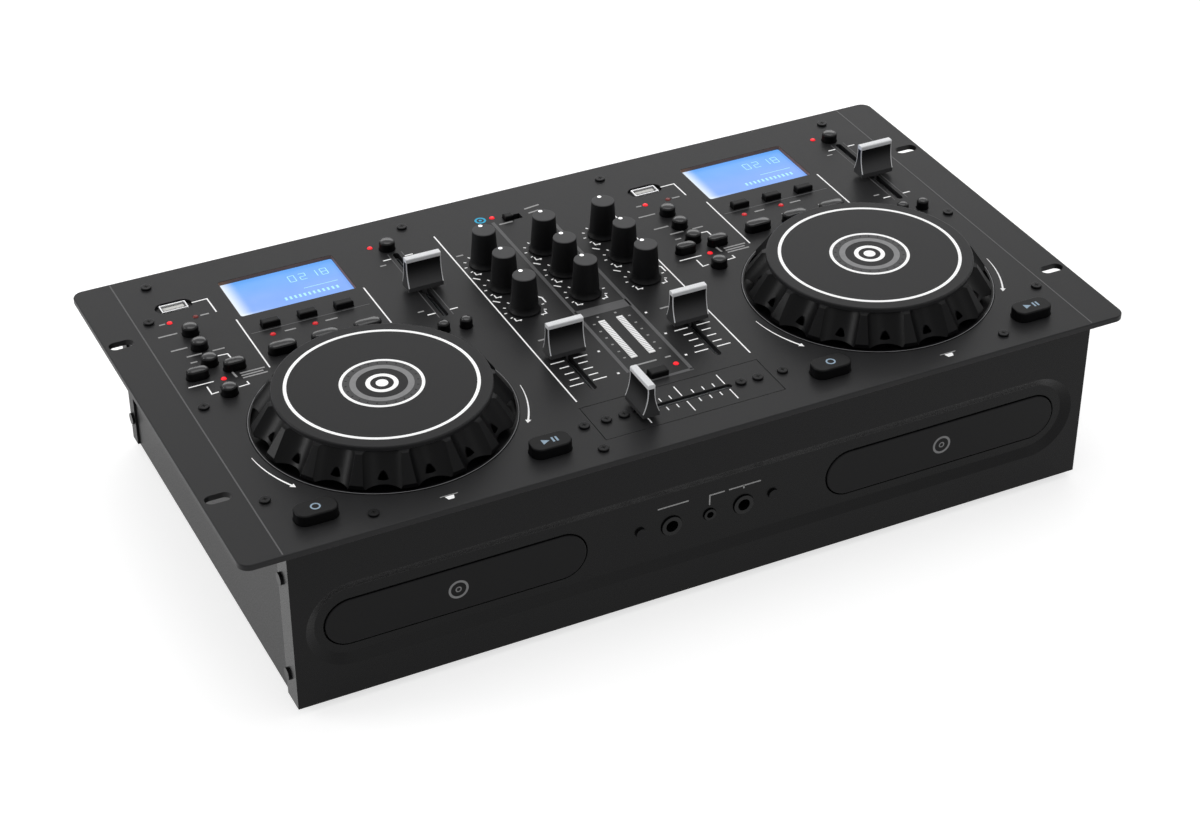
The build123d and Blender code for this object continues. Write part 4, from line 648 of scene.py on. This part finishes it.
crossScale = {"longHalf": 11.5, "shortHalf": 5.6, "gap": 2.6}
for kind, columns, half in (("long", (-23.1, 0.8, 24.7), crossScale["longHalf"]),
                            ("short", (-16.6, -10.6, -5.0, 7.4, 13.3, 19.1), crossScale["shortHalf"])):
    length = half - crossScale["gap"]
    spots = [onPanel(x, crossRow + side * (crossScale["gap"] + length / 2), ink["middle"])
             for x in columns for side in (-1, 1)]
    addMarks(f"crossfaderScale_{kind}", spots, 0.6, length, ink["thickness"], whiteInk)

meterRows = (112.4, 105.0, 98.3, 91.5, 84.3, 77.9)
addMarks("meterScaleDots", [onPanel(x, y, ink["middle"]) for x in (-9.2, 10.9)
                            for y in meterRows], 1.3, 0.9, ink["thickness"], fineInk)
addMarks("meterTopDots", [onPanel(x, 118.0, ink["middle"]) for x in (-4.5, 5.6)], 1.2, 1.2,
         ink["thickness"], fineInk)
meter = {"columns": (-4.6, 5.6), "row": 94.8, "width": 3.5, "length": 37.8, "height": 0.46,
         "pitch": 1.55, "gap": 0.32, "gapHeight": 0.03, "gapMiddle": 0.465, "cells": 24}
addMarks("meterBars", [onPanel(x, meter["row"], meter["height"] / 2) for x in meter["columns"]],
         meter["width"], meter["length"], meter["height"], barLens)
gapSpots = [onPanel(x, meter["row"] + meter["pitch"] * (i - meter["cells"] // 2), meter["gapMiddle"])
            for x in meter["columns"] for i in range(1, meter["cells"])]
addMarks("meterBarGaps", gapSpots, meter["width"], meter["gap"], meter["gapHeight"], ringInk)
print("print: made")


screwSpots = {
    "left": [(-67.2, 247.6), (77.0, 246.3), (-35.1, 11.7), (-76.6, 214.4), (-76.6, 129.0),
             (-76.6, 43.4)],
    "right": [(-77.0, 246.3), (67.2, 247.6), (36.8, 12.0), (78.0, 214.4), (78.0, 129.0), (78.0, 43.4)],
    "mixer": [(-54.0, 32.2), (56.0, 32.2), (-54.0, 11.2)],
    "crossfader": [(x, crossRow) for x in (-42.0, -32.4, 32.4, 42.0)],
    "headTop": 1.2,
}
heads = [onPanel(deckPlaces[side] + x, y, screwSpots["headTop"]) for side in deckPlaces
         for x, y in screwSpots[side]]
heads += [onPanel(x, y, screwSpots["headTop"])
          for x, y in screwSpots["mixer"] + screwSpots["crossfader"]]
# black sheets in the screws' cross recesses: painted shade
addMarks("screwCrossRecessShade", heads, 2.6, 0.6, 0.04, recessShadeAndTickInk, last=90,
         copies=2)
print("screws: recesses made")


displaySpot = {"y": 218.0, "halfWide": 32.0, "halfHigh": 18.5, "liner": 0.22, "drop": -1.95}
displayMarks = {"digits": ("abcdef", "abged", "bc", "abcdgef"), "x": 4.0, "pitch": 6.0, "y": 223.0,
                "size": (3.4, 6.0), "bars": 12, "barX": -4.0, "barPitch": 2.6, "barY": (207.0, 210.0)}


def rectangle(x, y, halfX, halfY, corner=0.0, steps=6):
    if not corner:
        return [(x - halfX, y - halfY), (x + halfX, y - halfY), (x + halfX, y + halfY),
                (x - halfX, y + halfY)]
    points = []
    for sx, sy, start in ((1, -1, -90), (1, 1, 0), (-1, 1, 90), (-1, -1, 180)):
        points += circle(x + sx * (halfX - corner), y + sy * (halfY - corner), corner, steps, start,
                         start + 90, False)
    return points


liner = Sheet("displayRecessLiners", "chassis", "panel_steel", recessPlastic, displaySpot["drop"], 1.8)
segments = Sheet("displaySegments", "chassis", "window_acrylic", segmentGlow,
                 displaySpot["drop"] - 0.03, 0.03)
for deck in deckPlaces.values():
    inner, outer = [rectangle(deck, displaySpot["y"], displaySpot["halfWide"] - inset,
                              displaySpot["halfHigh"] - inset, corner)
                    for inset, corner in ((displaySpot["liner"], 1.28), (0.02, 1.48))]
    liner.strip(inner, outer, True)
    # seven-segment digits and a row of bars, as any such display shows
    for digit, places in enumerate(displayMarks["digits"]):
        x, y = deck + displayMarks["x"] + displayMarks["pitch"] * digit, displayMarks["y"]
        wide, high = displayMarks["size"]
        ends = {"a": ((0, high), (wide, high)), "b": ((wide, high), (wide, high / 2)),
                "c": ((wide, high / 2), (wide, 0)), "d": ((0, 0), (wide, 0)),
                "e": ((0, high / 2), (0, 0)), "f": ((0, high), (0, high / 2)),
                "g": ((0, high / 2), (wide, high / 2))}
        for place in places:
            (x1, y1), (x2, y2) = ends[place]
            segments.stroke([(x + x1, y + y1), (x + x2, y + y2)], 0.5)
    for i in range(displayMarks["bars"]):
        x = deck + displayMarks["barX"] + displayMarks["barPitch"] * i
        segments.stroke([(x, y) for y in displayMarks["barY"]], 1.2)
    segments.stroke([(deck + 8.0, 214.5), (deck + 27.0, 214.5)], 0.45)
liner.make()
segments.make()

dataPort = {"x": -60.0, "y": 224.5, "cup": (19.9, 9.9), "mouth": (7.25, 3.6), "lip": (7.1, 3.45, 0.5),
            "hollow": (6.45, 2.8, 0.3), "tongueY": 225.2, "tongue": (5.7, 1.25), "floor": (6.3, 2.65)}
portCup = Sheet("dataPortSurrounds", "chassis", "black_plastic", dishPlastic, -2.4, 1.2)
portLip = Sheet("dataPortLips", "chassis", "port_steel", portShine, -0.58, 0.5)
for deck in deckPlaces.values():
    x, y = deck + dataPort["x"], dataPort["y"]
    outer = stadium(x, y, *dataPort["cup"])
    inner = []
    for px, py in outer:
        dx, dy = px - x, py - y
        scale = min(1, *(half / abs(d) for half, d in zip(dataPort["mouth"], (dx, dy)) if d))
        inner.append((x + dx * scale, y + dy * scale))
    portCup.strip(inner, outer, True)
    portLip.strip(rectangle(x, y, *dataPort["hollow"]), rectangle(x, y, *dataPort["lip"]), True)
portCup.make()
portLip.make()
portTongue = Sheet("dataPortTongues", "chassis", "port_steel", whitePlug, -2.2, 1.2)
portFloor = Sheet("dataPortFloors", "chassis", "port_steel", portShine, -3.4, 0.3)
for deck in deckPlaces.values():
    portTongue.patch(rectangle(deck + dataPort["x"], dataPort["tongueY"], *dataPort["tongue"]))
    portFloor.patch(rectangle(deck + dataPort["x"], dataPort["y"], *dataPort["floor"]))
portTongue.make()
portFloor.make()
print("displays and ports: made")


keyCrowns = {
    "source_keys": [("round", -60.5, 196.0), ("round", -60.8, 181.0), ("round", -61.0, 165.0),
                    ("round", -61.0, 135.5), ("oblong", -51.0, 156.0), ("oblong", -70.4, 156.0)],
    "track_keys": [("track", -24.0, 160.0), ("track", -0.9, 160.0), ("track", 22.2, 160.0)],
    "bend_keys": [("small", 56.5, 141.6), ("small", 68.5, 140.3)],
    "pitch_key": [("round", 61.5, 229.5)],
}
crownSizes = {"base": 4.55, "rise": 0.9, "round": 3.6, "small": 2.6, "oblong": (10.2, 5.3),
              "track": (13.7, 5.7)}
keyMarks = {"top": 5.6, "thickness": 0.04, "cueX": -59.5, "cueRing": (1.7, 2.5), "playX": 60.0,
            "playBars": (1.4, 3.4)}
for side, deck in deckPlaces.items():
    for bank, keys in keyCrowns.items():
        crowns = Sheet(f"{side}_{bank}_crowns", f"{side}_{bank}", "key_plastic", keyCrown,
                       crownSizes["base"])
        for kind, x, y in keys:
            if kind in ("round", "small"):
                crowns.crown(circle(deck + x, y, crownSizes[kind], 40), crownSizes["rise"])
            else:
                crowns.crown(stadium(deck + x, y, *crownSizes[kind]), crownSizes["rise"])
        crowns.make(smooth=True)
    cueMark = Sheet(f"{side}_cue_mark", f"{side}_cue_button", "key_plastic", keyInk, keyMarks["top"],
                    keyMarks["thickness"])
    inner, outer = [circle(deck + keyMarks["cueX"], buttonRow, r, 40) for r in keyMarks["cueRing"]]
    cueMark.strip(inner, outer, True)
    cueMark.make()
    playMark = Sheet(f"{side}_play_mark", f"{side}_play_button", "key_plastic", keyInk, keyMarks["top"],
                     keyMarks["thickness"])
    x = deck + keyMarks["playX"]
    playMark.patch([(x - 4.2, buttonRow - 2.0), (x - 0.4, buttonRow), (x - 4.2, buttonRow + 2.0)])
    for shift in keyMarks["playBars"]:
        playMark.patch(rectangle(x + shift, buttonRow, 0.5, 1.9))
    playMark.make()
print("keys: crowned")


jogPrint = {"top": 18.5, "outerRing": (46.9, 1.7), "labelRing": (20.1, 1.6), "darkBand": (17.7, 3.8),
            "paleBand": (14.2, 3.1), "hubRing": (6.9, 2.3), "hubDot": 3.1, "dishEdgeHighlight": (65.85, 0.4)}
for side, deck in deckPlaces.items():
    rings = Sheet(f"{side}_jog_rings", f"{side}_jog", "black_plastic", whiteInk, jogPrint["top"], 0.04)
    for ring in ("outerRing", "labelRing", "hubRing"):
        rings.ring(deck, jogRow, *jogPrint[ring])
    rings.patch(circle(deck, jogRow, jogPrint["hubDot"], 40))
    rings.make()
    bands = Sheet(f"{side}_jog_bands", f"{side}_jog", "black_plastic", ringInk, jogPrint["top"], 0.03)
    bands.ring(deck, jogRow, *jogPrint["paleBand"])
    bands.make()
    dark = Sheet(f"{side}_jog_label", f"{side}_jog", "black_plastic", labelInk, jogPrint["top"], 0.02)
    dark.ring(deck, jogRow, *jogPrint["darkBand"])
    dark.make()
    # the dish edge's thin grey ring: a painted highlight
    lip = Sheet(f"{side}_dish_edge_highlight", "chassis", "black_plastic", dishEdgeHighlight, 0.28, 0.05)
    lip.ring(deck, jogRow, *jogPrint["dishEdgeHighlight"], 160)
    lip.make()
    ticks = [onPanel(deck, jogRow, jogPrint["top"] + 0.035)]
    addMarks(f"{side}_jog_label_marks", ticks, 1.1, 0.5, 0.02, recessShadeAndTickInk, f"{side}_jog",
             reach=jogPrint["darkBand"][0], first=0, last=345, copies=24)
print("jog wheels: printed")


knobDot = {"radius": 1.12, "reach": 4.5, "base": 20.6, "thickness": 0.39}
for column, x in knobColumns.items():
    for row, y in knobRows.items():
        name = f"{column}_{row}_knob"
        dot = Sheet(f"{name}_dot", name, "key_plastic", dotInk, knobDot["base"], knobDot["thickness"])
        dot.patch(circle(x, y + knobDot["reach"], knobDot["radius"], 32))
        dot.make()

capShape = {"width": 19.5, "base": 9.0, "blade": 3.8, "foot": 2.4, "waist": 4.6, "height": 18.6,
            "float": 2.0, "band": 2.3, "edge": 0.4, "proud": 0.05, "sunk": 0.3, "round": 0.7}


def capProfile():
    # Half widths of the cap from its foot to its blade, along one arc.
    points = [Vector((capShape["base"] / 2, capShape["foot"])),
              Vector((capShape["waist"] / 2, capShape["height"] / 2)),
              Vector((capShape["blade"] / 2, capShape["height"] - capShape["blade"] / 2))]
    (ax, ay), (bx, by), (cx, cy) = points
    far = [p.x**2 + p.y**2 for p in points]
    spread = 2 * (ax * (by - cy) + bx * (cy - ay) + cx * (ay - by))
    ux = (far[0] * (by - cy) + far[1] * (cy - ay) + far[2] * (ay - by)) / spread
    uy = (far[0] * (cx - bx) + far[1] * (ax - cx) + far[2] * (bx - ax)) / spread
    centre = Vector((ux, uy))
    start, end = (math.atan2(p.y - uy, p.x - ux) for p in (points[0], points[2]))
    if end - start > math.pi:
        end -= 2 * math.pi
    if start - end > math.pi:
        end += 2 * math.pi
    radius = (points[0] - centre).length
    return [(ux + radius * math.cos(start + (end - start) * i / 16),
             uy + radius * math.sin(start + (end - start) * i / 16)) for i in range(17)]


profile = capProfile()


def capTrim(name, x, y, way, body):
    # The foil band along the top of a cap and the thin foil edges down its ends.
    verts, faces = [], []

    def place(along, across, height):
        spot = (x + along, y + across) if way == "across" else (x - across, y + along)
        verts.append(onPanel(spot[0], spot[1], capShape["float"] + height))
        return len(verts) - 1

    half, proud, top = capShape["blade"] / 2, capShape["proud"], capShape["height"]
    curve = capShape["round"]
    arc = [(half - curve + (curve + proud) * math.cos(t), top - curve + (curve + proud) * math.sin(t))
           for t in (math.pi / 2 * i / 6 for i in range(7))]
    section = ([(-half - proud, top - capShape["band"]), (half + proud, top - capShape["band"])] + arc
               + [(-a, h) for a, h in reversed(arc)])
    reach = capShape["width"] / 2 + proud
    first = [place(a, -reach, h) for a, h in section]
    last = [place(a, reach, h) for a, h in section]
    faces.append(tuple(reversed(first)))
    faces.append(tuple(last))
    for i in range(len(section)):
        j = (i + 1) % len(section)
        faces.append((first[i], first[j], last[j], last[i]))
    for side in (-1, 1):
        for end in (-1, 1):
            outer = end * (capShape["width"] / 2 + proud)
            inner = end * (capShape["width"] / 2 - capShape["edge"])
            rows = []
            for wide, high in profile:
                skin, core = side * (wide + proud), side * (wide - capShape["sunk"])
                rows.append([place(skin, outer, high), place(skin, inner, high),
                             place(core, inner, high), place(core, outer, high)])
            for below, above in zip(rows, rows[1:]):
                for i in range(4):
                    j = (i + 1) % 4
                    quad = (below[i], below[j], above[j], above[i])
                    faces.append(quad if side * end > 0 else tuple(reversed(quad)))
            faces.append(tuple(rows[0]))
            faces.append(tuple(reversed(rows[-1])))
    mesh = bpy.data.meshes.new(name)
    mesh.from_pydata(verts, [], faces)
    mesh.materials.append(silverFoil)
    mesh.validate()
    return addPiece(name, mesh, body)


capSpots = {"pitchRow": 184.0, "channelRow": 94.0, "crossColumn": -22.5}
for side, deck in deckPlaces.items():
    capTrim(f"{side}_pitch_fader_foil", deck + pitchScale["x"], capSpots["pitchRow"], "back",
            f"{side}_pitch_fader")
for side, x in channelColumns.items():
    capTrim(f"{side}_channel_fader_foil", x, capSpots["channelRow"], "back",
            f"{side}_channel_fader")
capTrim("crossfader_foil", capSpots["crossColumn"], crossRow, "across", "crossfader")
print("knobs and faders: trimmed")


frontPrint = Sheet("frontPrint", "chassis", "case_steel", fineInk, 0.0, ink["thickness"], onFront)
for line in ([(-28.5, -39.0), (-11.5, -39.0)], [(0.3, -45.4), (0.3, -39.6), (8.6, -39.6)],
             [(11.0, -39.6), (29.0, -39.6)], [(19.4, -41.4), (19.4, -39.6)]):
    frontPrint.stroke(line, 0.75)
frontPrint.make()

# a plain disc sign on each tray
traySign = {"left": -135.0, "right": 135.0, "height": -50.7, "radius": 4.6, "width": 1.2, "hole": 1.3}
for side in deckPlaces:
    sign = Sheet(f"{side}_tray_disc_sign", f"{side}_tray", "black_plastic", ringInk, 0.5, 0.04, onFront)
    sign.ring(traySign[side], traySign["height"], traySign["radius"], traySign["width"], 64)
    sign.ring(traySign[side], traySign["height"], traySign["hole"], 0.6, 32)
    sign.make()

rear = {"columns": (-78.0, -60.0, -42.0, -24.0), "end": 8.0}
for row, material, name in ((58.0, redPlug, "red"), (74.0, whitePlug, "white")):
    inserts = Sheet(f"rearSocketInserts_{name}", "chassis", "black_plastic", material,
                    rear["end"] - 0.05, 0.1, onRear)
    for x in rear["columns"]:
        inserts.strip(circle(-x, row, 1.65, 32), circle(-x, row, 3.3, 32), True)
    inserts.make()
rearPrint = Sheet("rearPrint", "chassis", "case_steel", fineInk, 0.02, ink["thickness"], onRear)
for x in rear["columns"]:
    rearPrint.stroke([(-x - 3.4, 83.0), (-x + 3.4, 83.0)], 1.0)
rearPrint.stroke([(14.0, 86.0), (88.0, 86.0)], 0.5)
rearPrint.stroke([(-160.0, 61.0), (-146.0, 61.0)], 1.0)
rearPrint.stroke([(-112.0, 59.6), (-112.0, 62.4)], 0.7)
rearPrint.strip(circle(-112.0, 27.4, 1.0, 32), circle(-112.0, 27.4, 1.6, 32), True)
rearPrint.make()
print("front and rear: printed")


def seenDirectly(tree):
    # 1 for what the camera sees, also in a mirror or through glass
    rays = addNode(tree, "ShaderNodeLightPath").outputs
    seen = addNode(tree, "ShaderNodeMath", {"operation": "MAXIMUM"},
                   {0: rays["Is Camera Ray"], 1: rays["Is Glossy Ray"]})
    return addNode(tree, "ShaderNodeMath", {"operation": "MAXIMUM"},
                   {0: seen, 1: rays["Is Transmission Ray"]})


studioFloor = {"half": 6.0, "colour": "#cfcfcf", "glow": 0.66}  # half its width in metres
# matt paper: pale, with the object's shadow
floorMaterial = finish("paleStudioFloor", studioFloor["colour"], 0.7, mottle=0.01, mottleSize=400.0,
                       grainSize=3.0, grainDepth=0.0, edge=0.0)
floorMesh = bpy.data.meshes.new("studioFloor")
corners = ((-1, -1), (1, -1), (1, 1), (-1, 1))
floorMesh.from_pydata([(x * studioFloor["half"], y * studioFloor["half"], 0) for x, y in corners], [],
                      [(0, 1, 2, 3)])
floorMesh.materials.append(floorMaterial)
floorTree = floorMaterial.node_tree
floorShader = shaderOf(floorMaterial)
floorShader.inputs["Emission Color"].default_value = (1, 1, 1, 1)
floorGlow = addNode(floorTree, "ShaderNodeMath", {"operation": "MULTIPLY"},
                    {0: seenDirectly(floorTree), 1: studioFloor["glow"]})
floorTree.links.new(floorGlow.outputs[0], floorShader.inputs["Emission Strength"])
floor = bpy.data.objects.new("studioFloor", floorMesh)
scene.collection.objects.link(floor)

# places and sizes in metres, power in watts
lamps = {
    "overhead": {"at": (0.2, 0.3, 1.9), "size": (1.8, 1.4), "power": 12.0},
    "leftSide": {"at": (-1.7, 0.75, 0.55), "size": (0.9, 0.9), "power": 13.0},
    "rearCard": {"at": (0.65, 1.75, 0.95), "size": (2.0, 0.5), "power": 4.5},
    "front": {"at": (0.5, -2.0, 0.9), "size": (1.2, 0.8), "power": 2.5},
}
lampTarget = (0, 0, 0.08)
for name, lamp in lamps.items():
    light = bpy.data.lights.new(name, "AREA")
    light.shape = "RECTANGLE"
    light.size, light.size_y = lamp["size"]
    light.energy = lamp["power"]
    holder = bpy.data.objects.new(name, light)
    holder.location = lamp["at"]
    aim = Vector(lampTarget) - Vector(lamp["at"])
    holder.rotation_euler = aim.to_track_quat("-Z", "Y").to_euler()
    scene.collection.objects.link(holder)

ambient = {"seen": 1.0, "diffuse": 0.42}
world = bpy.data.worlds.new("studio")
world.use_nodes = True
scene.world = world
tree = world.node_tree
tree.nodes.clear()
extra = addNode(tree, "ShaderNodeMath", {"operation": "MULTIPLY"},
                {0: seenDirectly(tree), 1: ambient["seen"] - ambient["diffuse"]})
strength = addNode(tree, "ShaderNodeMath", {"operation": "ADD"}, {0: extra, 1: ambient["diffuse"]})
sky = addNode(tree, "ShaderNodeBackground", None, {"Color": (1, 1, 1, 1), "Strength": strength})
addNode(tree, "ShaderNodeOutputWorld", None, {"Surface": sky})

# the photograph's viewpoint, its place in millimetres
view = {"at": (-509.19, -1037.5, 820.73), "right": (0.89686, -0.44231, 0.00029),
        "up": (0.24947, 0.50639, 0.82543), "forward": (0.36524, 0.74022, -0.56451), "lens": 78.83}
camera = bpy.data.cameras.new("photoView")
camera.lens = view["lens"]
camera.sensor_width = 36.0
holder = bpy.data.objects.new("photoView", camera)
scene.collection.objects.link(holder)
back = [-c for c in view["forward"]]
turn = Matrix((view["right"], view["up"], back)).transposed().to_4x4()
holder.matrix_world = Matrix.Translation(Vector(view["at"]) * mm) @ turn
scene.camera = holder
scene.view_settings.view_transform = "Standard"
print("floor, light and camera: set")
